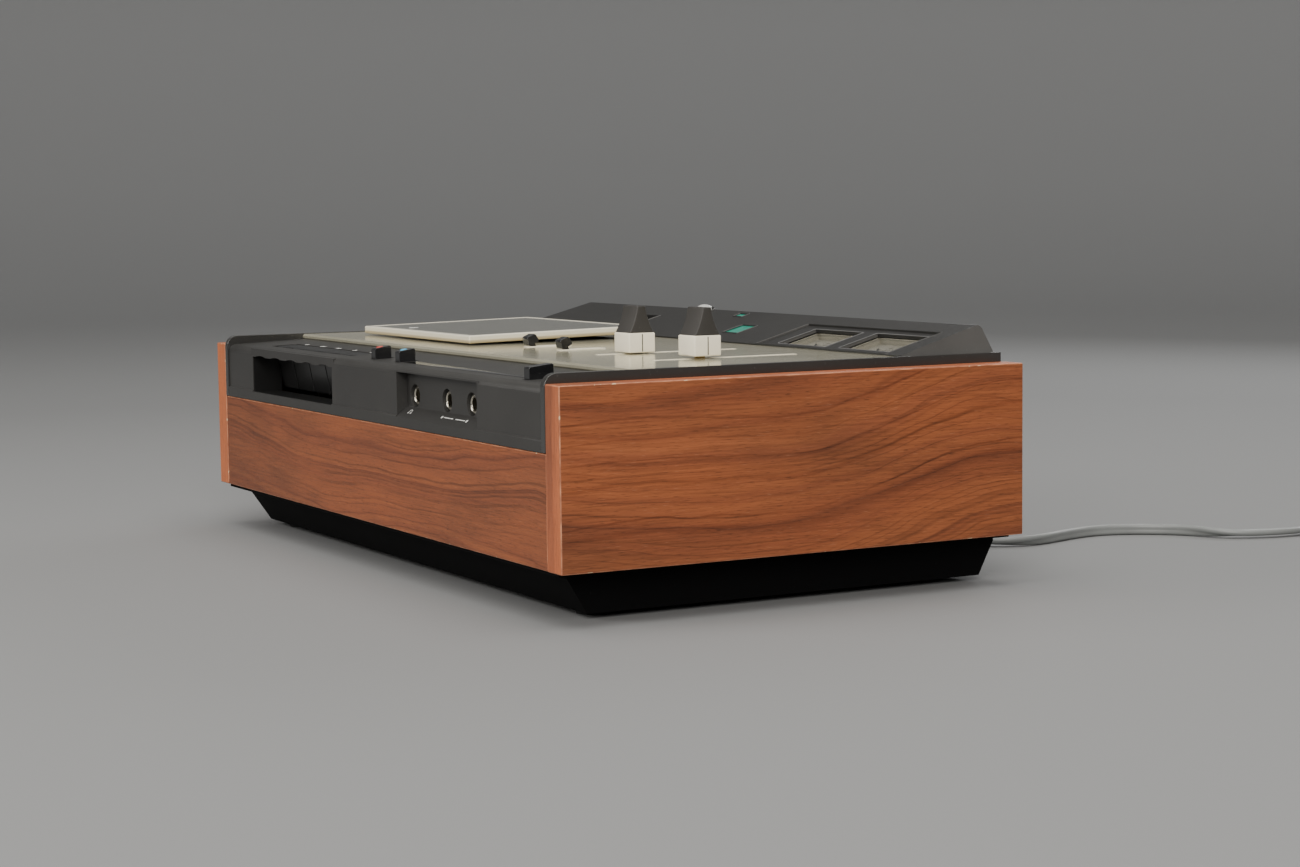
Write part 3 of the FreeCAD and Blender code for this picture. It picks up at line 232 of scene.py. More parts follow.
def veneer(f, at, seed, lift=0.0, light=1.0, figure=1.0, lines=()):
    """Walnut figure on a point (along, across, depth): its colour, fine streaks and open pores, all made lighter
    or darker by the light factor, as painted light or shade.

    Each of the lines is (height, half width, strength): a ring that is dark or, if over 1, light.
    """
    split = f.add("SeparateXYZ", {0: at})
    bent = f.add("MapRange", {"Value": split.outputs["X"], "From Min": -0.01, "From Max": 0.115,
                              "To Min": 0.0, "To Max": lift}, interpolation_type="SMOOTHSTEP")
    height = f.maths("SUBTRACT", split.outputs["Y"], bent.outputs[0])
    drift = f.spread(f.noise(f.stretched(at, (11.0, 6.0, 1.0)), 1.0, 3.0, 0.6), -0.007, 0.007)
    level = f.maths("ADD", height, drift)
    for scales, reach in (((3.4, 9.0, 1.0), 0.030), ((9.0, 24.0, 1.0), 0.008),
                          ((28.0, 90.0, 1.0), 0.0022)):
        warp = f.noise(f.stretched(at, scales), 1.0, 1.5)
        height = f.maths("ADD", height, f.spread(warp, -reach * figure, reach * figure))
    rings = f.bands(f.maths("MULTIPLY_ADD", height, 46.0, seed), 4.0, 0.62)
    base = f.ramp(rings, [(0.26, (0.170, 0.050, 0.021)), (0.42, (0.262, 0.075, 0.029)),
                          (0.56, (0.335, 0.101, 0.036)), (0.70, (0.272, 0.078, 0.029)),
                          (0.82, (0.196, 0.057, 0.023))])

    # thin dark lines where a ring ends, patchy along their length
    fine = f.bands(f.maths("MULTIPLY_ADD", height, 150.0, seed + 4.0), 1.0)
    line = f.maths("ABSOLUTE", f.maths("SUBTRACT", fine, 0.47))
    patch = f.ramp(f.noise(f.stretched(at, (7.0, 26.0, 1.0)), 1.0, 2.0),
                   [(0.40, 0.0), (0.60, 1.0)])
    dark = f.ramp(line, [(0.0, 0.50), (0.012, 0.66), (0.045, 1.0)])
    base = f.mix(f.maths("MULTIPLY", patch, 0.85), base, f.times(base, dark))

    for at_height, half, strength in lines:
        gap = f.maths("ABSOLUTE", f.maths("SUBTRACT", level, at_height))
        near = f.maths("MULTIPLY", f.share(gap, half * 1.6, half * 0.4),
                       f.spread(patch, 0.45, 1.0))
        tone = tuple(strength ** power for power in (0.8, 1.0, 1.15))
        base = f.mix(near, base, f.times(base, tone))

    # smoky patches, fine streaks, and open pores, some with a painted glint of light
    smoke = f.noise(f.stretched(at, (6.5, 17.0, 1.0)), 1.0, 3.0, 0.55)
    base = f.times(base, f.ramp(smoke, [(0.34, scaled((0.66, 0.70, 0.76), light)),
                                        (0.52, light),
                                        (0.70, scaled((1.14, 1.10, 1.02), light))]))
    streak = f.noise(f.stretched(at, (34.0, 1250.0, 1.0)), 1.0, 3.0, 0.65)
    base = f.times(base, f.ramp(streak, [(0.30, 0.74), (0.50, 1.0), (0.70, 1.16)]))
    pores = f.noise(f.stretched(at, (190.0, 3300.0, 1.0)), 1.0, 1.0)
    pits = f.ramp(pores, [(0.29, 0.45), (0.39, 1.0)])
    base = f.times(base, pits, 0.75)
    painted_glint = f.ramp(pores, [(0.68, 0.0), (0.78, (0.085, 0.055, 0.035))])
    return f.mix(1.0, base, painted_glint, "ADD"), streak, pits


def walnut(name, grain, seed, lift=0.0, lines=(), light=1.0):
    """Veneered board: figure on its broad face, upright grain on its ends, its ends and top lighter, partly their
    own paler grain and partly painted light, and pale corners, partly wear and partly a painted highlight.
    """
    f = Finish(name, Coat_Weight=0.05, Coat_Roughness=0.42, Specular_IOR_Level=0.4)
    split = f.add("SeparateXYZ", {0: f.place()})
    x, y, z = (split.outputs[a] for a in "XYZ")
    along, broad = (y, x) if grain == "y" else (x, y)

    def cut(length, width, depth, shift):
        slow = f.maths("MULTIPLY_ADD", depth, 0.25, shift)
        return f.add("CombineXYZ", {0: length, 1: width, 2: slow}).outputs[0]

    face = cut(along, z, broad, seed)
    end = cut(z, broad, along, seed + 2)
    top = cut(along, broad, z, seed + 5)
    base, streak, pits = veneer(f, face, seed, lift, light, lines=lines)

    normal = f.add("SeparateXYZ", {0: f.add("TexCoord").outputs["Normal"]})
    nx, ny, nz = (f.maths("ABSOLUTE", normal.outputs[a]) for a in "XYZ")
    # ends and top get their own figure, made 1.75 and 1.70 times lighter: partly their paler grain, partly painted
    # light
    for facing, figure in ((ny if grain == "y" else nx, veneer(f, end, seed + 1, 0.0, 1.75, 0.25)),
                           (nz, veneer(f, top, seed + 3, 0.0, 1.70, 0.2))):
        base = f.mix(f.maths("GREATER_THAN", facing, 0.8), base, figure[0])

    # rounded corners get a pale edge colour, partly wear and partly a painted highlight on the bevels, with pale
    # wear chips
    flattest = f.maths("MAXIMUM", f.maths("MAXIMUM", nx, ny), nz)
    corner = f.share(flattest, 0.985, 0.90)
    wear_and_highlight = f.ramp(f.noise(f.place(), 160.0, 2.0),
                  [(0.35, (0.36, 0.125, 0.062)), (0.66, (0.60, 0.26, 0.14))])
    chips = f.ramp(f.noise(f.place(), 330.0, 0.0), [(0.765, 0.0), (0.775, 1.0)])
    wear_and_highlight = f.mix(chips, wear_and_highlight, (0.74, 0.55, 0.34))
    f.put("Base Color", f.mix(corner, base, wear_and_highlight))
    f.put("Roughness", f.spread(streak, 0.40, 0.58))
    f.bump(pits, 0.35, 0.0001)
    return f.material


def moulded(name, colour, rough, grain=2600.0, depth=0.00004, coat=0.0, sheen=0.5,
            ends=1.0, shaded_recess=None):
    """Moulded plastic: a fine texture, slight unevenness and dust.

    Faces to the right and left are made lighter by ends, as painted light; inside the given box the walls are
    painted nearly black, as painted shade in a recess.
    """
    f = Finish(name, Coat_Weight=coat, Coat_Roughness=0.12, Specular_IOR_Level=sheen)
    at = f.place()
    fine = f.noise(at, grain, 2.0)
    cloud = f.noise(at, 24.0, 4.0, 0.6)
    dust = f.ramp(f.noise(at, 900.0, 1.0), [(0.72, 0.0), (0.80, 0.07 * sheen)])
    shade = f.ramp(cloud, [(0.3, scaled(colour, 0.86)), (0.7, scaled(colour, 1.12))])
    shade = f.mix(1.0, shade, dust, "ADD")
    # painted light: faces to the right and left made lighter by a factor
    if ends != 1.0:
        normal = f.add("SeparateXYZ", {0: f.add("TexCoord").outputs["Normal"]})
        across = f.maths("GREATER_THAN", f.maths("ABSOLUTE", normal.outputs["X"]), 0.4)
        shade = f.mix(across, shade, f.times(shade, (ends, ends, ends)))
    # painted shade: inside the given box, a recess's walls are made nearly black
    if shaded_recess:
        shade = f.mix(f.within(at, *shaded_recess), shade, scaled(colour, 0.12))
    f.put("Base Color", shade)
    f.put("Roughness", f.spread(cloud, rough - 0.05, rough + 0.07))
    f.bump(fine, 0.5, depth)
    return f.material


LID_TILT = math.radians(1.1)
LID_FRONT = 52.5 * MM                       # from the middle of the deck
LID_EDGE = (110.9 * MM, 115.1 * MM)         # the border's foot and top, at its front


def lid_border():
    """The lid's cream border, graded up its height: amber at its foot, partly its own tint and partly painted
    shade, and bright cream at its top, partly a painted highlight.
    """
    f = Finish("lid_cream", Coat_Weight=0.4, Coat_Roughness=0.1, Roughness=0.28)
    split = f.add("SeparateXYZ", {0: f.place()})
    rise = f.maths("MULTIPLY", f.maths("ADD", split.outputs["Y"], LID_FRONT), math.tan(LID_TILT))
    up = f.share(f.maths("SUBTRACT", split.outputs["Z"], rise), *LID_EDGE)
    f.put("Base Color", f.ramp(up, [(0.05, (0.42, 0.345, 0.20)), (0.34, (0.52, 0.435, 0.27)),
                                    (0.48, (0.80, 0.745, 0.59)), (1.0, (0.86, 0.815, 0.67))]))
    return f.material


def metal(name, colour, rough, brush=(30.0, 1400.0, 1400.0), depth=0.00001, metallic=1.0):
    """Machined, plated or brushed metal; brush stretches its fine lines."""
    f = Finish(name, Metallic=metallic)
    at = f.place()
    lines = f.noise(f.stretched(at, brush), 1.0, 3.0, 0.6)
    tarnish = f.noise(at, 60.0, 4.0, 0.6)
    f.put("Base Color", f.ramp(tarnish, [(0.3, scaled(colour, 0.84)), (0.7, colour)]))
    f.put("Roughness", f.spread(lines, rough - 0.06, rough + 0.10))
    f.bump(lines, 0.4, depth)
    return f.material


def clear(name, colour, rough, alpha):
    """A clear or smoked window, thin enough to need no refraction."""
    f = Finish(name, IOR=1.49, Alpha=alpha)
    haze = f.noise(f.place(), 40.0, 4.0, 0.65)
    f.put("Base Color", f.ramp(haze, [(0.3, scaled(colour, 0.8)), (0.7, colour)]))
    f.put("Roughness", f.spread(haze, rough, rough + 0.07))
    return f.material


def glowing(name, colour, strength):
    f = Finish(name, Roughness=0.25, Emission_Strength=strength, Coat_Weight=0.5,
               Coat_Roughness=0.1)
    ribs = f.noise(f.stretched(f.place(), (900.0, 60.0, 60.0)), 1.0, 1.0)
    tint = f.ramp(ribs, [(0.35, scaled(colour, 0.6)), (0.65, colour)])
    f.put("Base Color", tint)
    f.put("Emission Color", tint)
    return f.material


def deck_metal():
    """The warm satin plate."""
    f = Finish("deck_plate", Metallic=0.62)
    at = f.place()
    lines = f.noise(f.stretched(at, (26.0, 1500.0, 200.0)), 1.0, 3.0, 0.6)
    speck = f.noise(at, 1500.0, 2.0)
    cloud = f.noise(at, 16.0, 3.0)
    plain = f.ramp(cloud, [(0.3, (0.63, 0.60, 0.45)), (0.7, (0.76, 0.72, 0.555))])
    plain = f.times(plain, f.ramp(speck, [(0.35, 0.78), (0.6, 1.0)]), 0.5)
    f.put("Base Color", plain)
    f.put("Roughness", f.spread(lines, 0.10, 0.22))
    f.bump(speck, 0.35, 0.000018)
    return f.material


SHELF = {}
RIGHT_RINGS = (
    (0.0746, 0.0040, 1.20), (0.0880, 0.0005, 0.42), (0.0793, 0.0003, 0.60), (0.0704, 0.0003, 0.62),
    (0.0602, 0.0010, 0.74), (0.0440, 0.0004, 0.62), (0.0385, 0.0014, 0.78), (0.0960, 0.0009, 0.76))
# the key recess in the fascia, whose walls are painted nearly black as painted shade
KEY_RECESS_SHADE = ((-164.9, -121.0, 79.9), (-42.9, -79, 101.1))


def make_materials():
    black = (0.031, 0.030, 0.028)
    SHELF.update({
        "walnut_side": walnut("walnut_side", "y", 3.7, 0.026, RIGHT_RINGS),
        "walnut_left": walnut("walnut_left", "y", 11.2, 0.012),
        # the front board's figure is painted a tenth darker: painted shade
        "walnut_front": walnut("walnut_front", "x", 7.9, light=0.90),
        "black": moulded("black_moulding", black, 0.44),
        "fascia": moulded("fascia_moulding", (0.036, 0.035, 0.033), 0.42, shaded_recess=KEY_RECESS_SHADE),
        "rim": moulded("rim_moulding", black, 0.24, 2600.0, 0.00002, 0.5),
        "inlay": moulded("glossy_inlay", (0.02, 0.02, 0.02), 0.09, 260.0, 0.00004, 1.0),
        # the bridge's right and left ends are painted 4.2 times lighter: painted light
        "bridge": moulded("bridge_moulding", (0.020, 0.0195, 0.0185), 0.44, 1800.0, ends=4.2),
        "grip": moulded("knob_grip", (0.040, 0.037, 0.034), 0.50, 2200.0),
        "key": moulded("black_key", (0.006, 0.006, 0.006), 0.34, 900.0, 0.000008, 0.15),
        "gloss": moulded("black_gloss", (0.010, 0.010, 0.011), 0.17, 700.0, 0.000006, 0.6),
        # the tub's near-black is far darker than the other mouldings: its own black with painted shade under the
        # cabinet
        "tub": moulded("tub_black", (0.0020, 0.0020, 0.0022), 0.80, 1500.0, sheen=0.12),
        "rubber": moulded("rubber", (0.012, 0.012, 0.012), 0.8, 1200.0),
        "cream": moulded("cream", (0.78, 0.72, 0.56), 0.27, 900.0, 0.000006, 0.3),
        "lid": lid_border(),
        "knob_cream": moulded("knob_cream", (0.94, 0.87, 0.71), 0.36, 900.0, 0.00001),
        "white": moulded("white_button", (0.62, 0.62, 0.59), 0.25, 800.0, 0.000005, 0.4),
        "print": moulded("printed_white", (0.80, 0.80, 0.77), 0.55, 3000.0, 0.000004),
        "ink": moulded("printed_black", (0.02, 0.02, 0.02), 0.55, 3000.0, 0.000004),
        "red": moulded("red_mark", (0.62, 0.09, 0.07), 0.4, 900.0, 0.000005),
        "blue": moulded("blue_mark", (0.10, 0.42, 0.66), 0.4, 900.0, 0.000005),
        # pale grey for the meter borders: a painted highlight on their bevels
        "bevel_highlight_grey": moulded("bevel_highlight_grey", (0.14, 0.14, 0.14), 0.35, 900.0, 0.000006),
        "dial": moulded("dial_face", (0.66, 0.63, 0.52), 0.6, 2000.0, 0.000006),
        "nylon": moulded("nylon", (0.70, 0.68, 0.62), 0.45),
        "grey_cord": moulded("grey_vinyl", (0.235, 0.245, 0.240), 0.36, 1100.0, 0.00002),
        "board": moulded("phenolic", (0.34, 0.19, 0.07), 0.5, 500.0, 0.00002),
        "plate": deck_metal(),
        "nickel": metal("nickel", (0.72, 0.68, 0.58), 0.20, (900.0, 900.0, 900.0)),
        "chrome": metal("bright_steel", (0.70, 0.70, 0.70), 0.18),
        "zinc": metal("zinc_steel", (0.55, 0.55, 0.50), 0.34, (400.0, 400.0, 400.0)),
        "brass": metal("brass", (0.66, 0.46, 0.17), 0.24),
        "iron": metal("machined_iron", (0.46, 0.46, 0.47), 0.30, (900.0, 900.0, 60.0)),
        "can": metal("motor_paint", (0.33, 0.34, 0.35), 0.45, (300.0, 300.0, 300.0), 0.00002, 0.3),
        "core": metal("laminations", (0.09, 0.09, 0.10), 0.5, (40.0, 2500.0, 40.0), 0.00006, 0.4),
        "paint": moulded("rear_paint", (0.022, 0.022, 0.024), 0.5, 700.0, 0.00005),
        "smoke": metal("smoked_mirror", (0.40, 0.395, 0.35), 0.13, (500.0, 500.0, 500.0), 0.000004, 0.62),
        "lens": clear("meter_window", (0.075, 0.073, 0.066), 0.04, 0.30),
        "green": glowing("green_lens", (0.008, 0.30, 0.21), 0.30),
    })


# ---------------------------------------------------------------- making pieces

def mesh_of(name, bm, look):
    """The smooth mesh of a bmesh, with its look."""
    mesh = bpy.data.meshes.new(name)
    bm.to_mesh(mesh)
    bm.free()
    mesh.materials.append(SHELF[look])
    mesh.shade_smooth()
    return mesh


def from_bmesh(name, bm, look, body, bevel=0.0, smooth=35):
    """Close a bmesh into a piece that rides on a body, its sharp edges eased."""
    bmesh.ops.remove_doubles(bm, verts=bm.verts, dist=1e-7)
    bmesh.ops.recalc_face_normals(bm, faces=bm.faces)
    if bevel:
        sharp = [e for e in bm.edges
                 if len(e.link_faces) == 2 and e.calc_face_angle() > math.radians(28)]
        bmesh.ops.bevel(bm, geom=sharp, offset=bevel, segments=3, profile=0.5, affect="EDGES",
                        clamp_overlap=True)
    mesh = mesh_of(name, bm, look)
    mesh.set_sharp_from_angle(angle=math.radians(smooth))
    piece = add_object(name, mesh)
    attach(piece, body)
    return piece


def prism(bm, outline, start, end, at):
    """A closed outline of (u, v) on a matrix's own XY, pushed along its Z from start to end."""
    rings = [[bm.verts.new(at @ Vector((u, v, depth))) for u, v in outline] for depth in (start, end)]
    bm.faces.new(rings[0][::-1])
    bm.faces.new(rings[1])
    join_rings(bm, *rings)


def join_rings(bm, near, far):
    """Faces between two closed rings with the same count of points."""
    for i in range(len(near)):
        j = (i + 1) % len(near)
        bm.faces.new((near[i], near[j], far[j], far[i]))


def tube(bm, rings):
    """Faces along a row of closed rings, and over both ends."""
    for near, far in zip(rings, rings[1:]):
        join_rings(bm, near, far)
    bm.faces.new(rings[0][::-1])
    bm.faces.new(rings[-1])


def rounded_loop(half_u, half_v, corner, steps=5):
    """A rectangle with round corners, as (u, v) points."""
    loop = []
    for su, sv, start in ((1, 1, 0), (-1, 1, 90), (-1, -1, 180), (1, -1, 270)):
        for i in range(steps):
            a = math.radians(start + 90 * i / (steps - 1))
            loop.append((su * (half_u - corner) + corner * math.cos(a),
                         sv * (half_v - corner) + corner * math.sin(a)))
    return loop


def bezel(bm, half_u, half_v, wide, low, high, at, corner=0.6 * MM, ease=0.2 * MM):
    """A raised border round an opening of the given half sizes."""
    rings = []
    for grow, height in ((0, low), (0, high - ease), (ease, high), (wide - ease, high),
                         (wide, high - ease), (wide, low)):
        loop = rounded_loop(half_u + grow, half_v + grow, corner + grow)
        rings.append([bm.verts.new(at @ Vector((u, v, height))) for u, v in loop])
    for near, far in zip(rings, rings[1:] + rings[:1]):
        join_rings(bm, near, far)


def arc_strip(bm, inner, outer, start, end, low, high, at, steps=16):
    """A flat band round a matrix's Z; angles in degrees, clockwise from its Y."""
    turn = [math.radians(90 - start - (end - start) * i / steps) for i in range(steps + 1)]
    outline = [(outer * math.cos(a), outer * math.sin(a)) for a in turn]
    outline += [(inner * math.cos(a), inner * math.sin(a)) for a in reversed(turn)]
    prism(bm, outline, low, high, at)


def disc(radius, steps=24):
    turn = [2 * math.pi * i / steps for i in range(steps)]
    return [(radius * math.cos(a), radius * math.sin(a)) for a in turn]


def mesh_from(name, curve):
    """The mesh that a curve makes; its object is removed again."""
    holder = add_object(name, curve)
    bpy.context.view_layer.update()
    mesh = bpy.data.meshes.new_from_object(holder)
    bpy.data.objects.remove(holder)
    return mesh


def add_numeral(bm, text, high, where):
    """Set a centred number on a surface; where turns its flat (u, v) into a point."""
    curve = bpy.data.curves.new("numeral", "FONT")
    curve.body, curve.size = text, high
    curve.align_x, curve.align_y = "CENTER", "CENTER"
    mesh = mesh_from("numeral", curve)
    verts = [bm.verts.new(where(v.co.x, v.co.y)) for v in mesh.vertices]
    for face in mesh.polygons:
        bm.faces.new([verts[i] for i in face.vertices])


def block(bm, low, high):
    """A box between two corners."""
    verts = [bm.verts.new((x, y, z)) for z in (low[2], high[2]) for y in (low[1], high[1])
             for x in (low[0], high[0])]
    for face in ((0, 2, 3, 1), (4, 5, 7, 6), (0, 1, 5, 4), (2, 6, 7, 3), (0, 4, 6, 2), (1, 3, 7, 5)):
        bm.faces.new([verts[i] for i in face])


def lathe(bm, profile, at, steps=48):
    """A profile of (radius, height) turned about a matrix's own Z."""
    rings = []
    for radius, height in profile:
        points = [(0, 0)] if radius < 1e-7 else disc(radius, steps)
        rings.append([bm.verts.new(at @ Vector((u, v, height))) for u, v in points])
    for low, high in zip(rings, rings[1:]):
        for i in range(steps):
            j = (i + 1) % steps
            ring = [low[i % len(low)], low[j % len(low)], high[j % len(high)], high[i % len(high)]]
            unique = list(dict.fromkeys(ring))
            if len(unique) > 2:
                bm.faces.new(unique)


def pointing(at, direction):
    """A matrix at a point whose Z is a direction."""
    made = Vector(direction).to_track_quat("Z", "Y").to_matrix().to_4x4()
    made.translation = Vector(at)
    return made


def swept(name, points, section, twists, look, body):
    """A tube along points; its section of (wide, thick) offsets turns by each point's twist."""
    bm = bmesh.new()
    rings = []
    for i, point in enumerate(points):
        ahead, behind = points[min(i + 1, len(points) - 1)], points[max(i - 1, 0)]
        tangent = (ahead - behind).normalized()
        side = tangent.cross(UP).normalized()
        over = side.cross(tangent)
        turn = twists[i]
        wide = side * math.cos(turn) + over * math.sin(turn)
        thick = over * math.cos(turn) - side * math.sin(turn)
        rings.append([bm.verts.new(point + wide * w + thick * h) for w, h in section])
    tube(bm, rings)
    return from_bmesh(name, bm, look, body, smooth=60)


# ---------------------------------------------------------------- mains cord

CORD_WIDE, CORD_THICK = 5.8 * MM, 3.3 * MM
CORD_ROUTE = [(24, 142, 40), (24, 160, 38), (30, 174, 30), (46, 180, 16), (68, 176, 5), (90, 176, 3),
              (110, 188, 3), (119, 210, 3), (108, 241, 3), (104, 264, 3), (113, 284, 3), (129, 302, 3),
              (152, 311, 3), (163.5, 338, 3)]
COIL_ENTRY = [(163.5, 362, 3), (160.8, 379, 3)]
COIL_LAYERS = (3.3, 9.3)
COIL_COLUMN = 6.1
COIL_TURNS = 5.0
TURN_POINTS = 16


def eased(value, low, high):
    share = min(1.0, max(0.0, (value - low) / (high - low)))
    return share * share * (3 - 2 * share)


def coil_point(middle, radius, turns):
    """A point of the wound length: three turns inwards on the floor, then outwards on top of them."""
    inward = eased(turns, 0.72, 0.88) + eased(turns, 1.72, 1.88)
    outward = eased(turns, 3.34, 3.50) + eased(turns, 4.34, 4.50)
    reach = radius + COIL_COLUMN * (1 - inward + outward)
    layer = COIL_LAYERS[0] + (COIL_LAYERS[1] - COIL_LAYERS[0]) * eased(turns, 2.52, 2.70)
    angle = math.pi - 2 * math.pi * turns
    return (middle[0] + reach * math.cos(angle), middle[1] + reach * math.sin(angle), layer)


def cord_line():
    """The cord's smooth centreline, read from its spline."""
    low, high = (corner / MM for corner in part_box("cord_coil"))
    middle, radius = (low + high) / 2, (high.x - low.x) / 2 - 10
    plug_low, plug_high = (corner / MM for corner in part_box("power_plug"))
    neck = Vector(((plug_low.x + plug_high.x) / 2, plug_high.y, (plug_high.z + high.z) / 2))
    steps = int(COIL_TURNS * TURN_POINTS)
    turns = [coil_point(middle, radius, i / TURN_POINTS) for i in range(steps + 1)]
    top = middle.y + radius + COIL_COLUMN
    rise = [(middle.x - 37, middle.y + 20, 10.0), (middle.x - 26, top - 5, 12.0),
            (middle.x - 10, top + 4, 14.6), (middle.x + 8, top + 6, 17.0),
            (neck.x - 11, top + 1, 18.7), (neck.x - 2, top - 9, neck.z),
            (neck.x, neck.y + 7, neck.z), tuple(neck)]
    points = CORD_ROUTE + COIL_ENTRY + turns + rise
    curve = bpy.data.curves.new("cord_line", "CURVE")
    curve.dimensions = "3D"
    curve.resolution_u = 8
    spline = curve.splines.new("NURBS")
    spline.points.add(len(points) - 1)
    for control, point in zip(spline.points, points):
        control.co = (*(Vector(point) * MM), 1)
    spline.order_u = 3
    spline.use_endpoint_u = True
    return [v.co.copy() for v in mesh_from("cord_line", curve).vertices]


def twin_section():
    """Two round cores side by side with a web between them."""
    core = CORD_THICK / 2
    offset = CORD_WIDE / 2 - core
    steps, section = 9, []
    for side in (1, -1):
        for i in range(steps):
            angle = math.radians(-122 + 244 * i / (steps - 1)) + (0 if side > 0 else math.pi)
            section.append((side * offset + core * math.cos(angle), core * math.sin(angle)))
    return section


def make_cord():
    line = cord_line()
    run, lengths = 0.0, [0.0]
    for a, b in zip(line, line[1:]):
        run += (b - a).length
        lengths.append(run)
    on_edge = math.pi / 2
    twists = [on_edge * (eased(s, 0.11, 0.17) - eased(s, 0.245, 0.285) + eased(s, 0.34, 0.39))
              for s in lengths]
    cord = swept("mains_cord", line, twin_section(), twists, "grey_cord", ROOT)
    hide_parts("power_cord", "cord_coil")
    tie = make_tie()
    plug = make_plug()
    print(f"cord length {run:.3f} m")


def make_tie():
    """A band round the wound turns, at the coil's far left."""
    low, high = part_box("cord_coil")
    middle = (low + high) / 2
    mean = (high.x - low.x) / 2 - 10 * MM
    angle = math.radians(115)
    out = Vector((math.cos(angle), math.sin(angle), 0))
    centre = middle + out * mean
    half_wide, half_high, corner, thick, half = (v * MM for v in (10.2, 6.0, 2.5, 0.35, 3.0))
    centre.z = half_high + thick + 0.03 * MM
    along = UP.cross(out)
    bm = bmesh.new()
    rings = []
    for u, v in rounded_loop(half_wide, half_high, corner, 6):
        point = centre + out * u + UP * v
        outward = (point - centre).normalized()
        rings.append([bm.verts.new(point + along * s * half + outward * t) for s, t in
                      ((-1, 0), (1, 0), (1, thick), (-1, thick))])
    for near, far in zip(rings, rings[1:] + rings[:1]):
        join_rings(bm, near, far)
    return from_bmesh("cord_tie", bm, "rubber", ROOT, bevel=0.12 * MM)


def make_plug():
    """A moulded two-blade plug: waisted body, a ringed neck and bright blades."""
    low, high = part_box("power_plug")
    coil_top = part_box("cord_coil")[1].z
    middle_x, middle_z = (low.x + high.x) / 2, (coil_top + high.z) / 2
    half_wide, half_high = (high.x - low.x) / 2, (high.z - coil_top) / 2
    front, rear = low.y + 17 * MM, high.y - 15 * MM
    stations = [(front, 1.0, 1.0), (front + 6 * MM, 1.0, 1.0), (front + 12 * MM, 0.86, 0.92),
                (front + 22 * MM, 0.80, 0.88), (rear - 3 * MM, 0.92, 0.94), (rear, 0.86, 0.86),
                (rear + 1.5 * MM, 0.56, 0.72)]
    neck = [(rear + (2 + 2.2 * i) * MM, (5.4 - 0.28 * i - (0.9 if i % 2 else 0)) * MM)
            for i in range(6)]
    steps, squareness = 40, 0.42
    squared = [tuple(math.copysign(abs(c) ** squareness, c) for c in point)
               for point in disc(1, steps)]
    sections = [(y, [(half_wide * wide * u, half_high * thick * v) for u, v in squared])
                for y, wide, thick in stations]
    sections += [(y, disc(radius, steps)) for y, radius in neck]
    bm = bmesh.new()
    tube(bm, [[bm.verts.new((middle_x + u, y, middle_z + v)) for u, v in ring]
              for y, ring in sections])
    body = from_bmesh("plug_body", bm, "grey_cord", ROOT, smooth=50)
    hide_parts("power_plug")
    bm = bmesh.new()
    for side in (-1, 1):
        x = middle_x + side * 6.35 * MM
        block(bm, (x - 0.75 * MM, low.y, middle_z - 3.2 * MM),
              (x + 0.75 * MM, front + 1 * MM, middle_z + 3.2 * MM))
    blades = from_bmesh("plug_blades", bm, "nickel", ROOT, bevel=0.3 * MM)
    return [body, blades]


# ---------------------------------------------------------------- CAD nodes and their finishes

LOOKS = {
    "walnut_side": "side_panel_right", "walnut_left": "side_panel_left",
    "walnut_front": "front_panel", "paint": "rear_panel", "tub": "bottom_cover",
    "rim": "top_frame", "fascia": "front_fascia", "plate": "top_plate", "bridge": "meter_bridge",
    "zinc": "rear_screws key_bracket lever_switches slide_pots chassis transport_plate",
    "rubber": "rubber_feet drive_belt pinch_roller", "dial": "vu_meters", "lens": "meter_lenses",
    "ink": "meter_needle_left meter_needle_right counter_drums", "green": "lamp_lenses",
    "black": "counter_frame cassette_well", "white": "counter_button", "lid": "lid_frame",
    "smoke": "lid_window", "chrome": "key_shaft key_springs head_carriage tape_heads",
    "gloss": "lever_red lever_blue power_lever toggle_lever_left toggle_lever_right",
    "brass": "fader_tang_left fader_tang_right motor_pulley",
    "nickel": "phone_jacks phono_sockets", "nylon": "reel_spindle_left reel_spindle_right",
    "iron": "flywheel", "can": "motor", "core": "transformer", "board": "circuit_board",
    "grey_cord": "strain_relief power_cord cord_coil power_plug",
    "knob_cream": "fader_knob_left fader_knob_right",
    "key": "key_record key_rewind key_fast_forward key_play key_stop",
}
EASED_EDGES = {
    0.25: "toggle_lever_left toggle_lever_right",
    0.3: "top_frame power_lever lever_red lever_blue lid_frame",
    0.35: "front_fascia",
    0.4: "meter_bridge cassette_well " + LOOKS["key"],
    0.5: "transformer",
    0.6: "bottom_cover",
}


def each_node(groups):
    """Every CAD node named in a table of groups, with its group's key."""
    for key, names in groups.items():
        for name in names.split():
            yield key, frame["nodes"][name]


def finish_nodes():
    """Give every CAD node its material, and ease the sharp edges of the mouldings."""
    for look, node in each_node(LOOKS):
        node.data.materials.clear()
        node.data.materials.append(SHELF[look])
    for width, node in each_node(EASED_EDGES):
        weld = node.modifiers.new("weld", "WELD")
        weld.merge_threshold = 0.000002
        flat = node.modifiers.new("flat", "DECIMATE")
        flat.decimate_type = "DISSOLVE"
        flat.angle_limit = math.radians(0.5)
        ease = node.modifiers.new("ease", "BEVEL")
        ease.width = width * MM
        ease.segments = 3
        ease.limit_method = "ANGLE"
        ease.angle_limit = math.radians(40)
        ease.harden_normals = True


# ---------------------------------------------------------------- controls on the deck plate

SIDEWAYS = axes(REARWARD, UP, RIGHT)        # (y, z) outlines pushed along X
SKIRT_HIGH, GRIP_FOOT, GRIP_WAIST, GRIP_RIDGE = (v * MM for v in (9.7, 6.7, 3.7, 2.1))


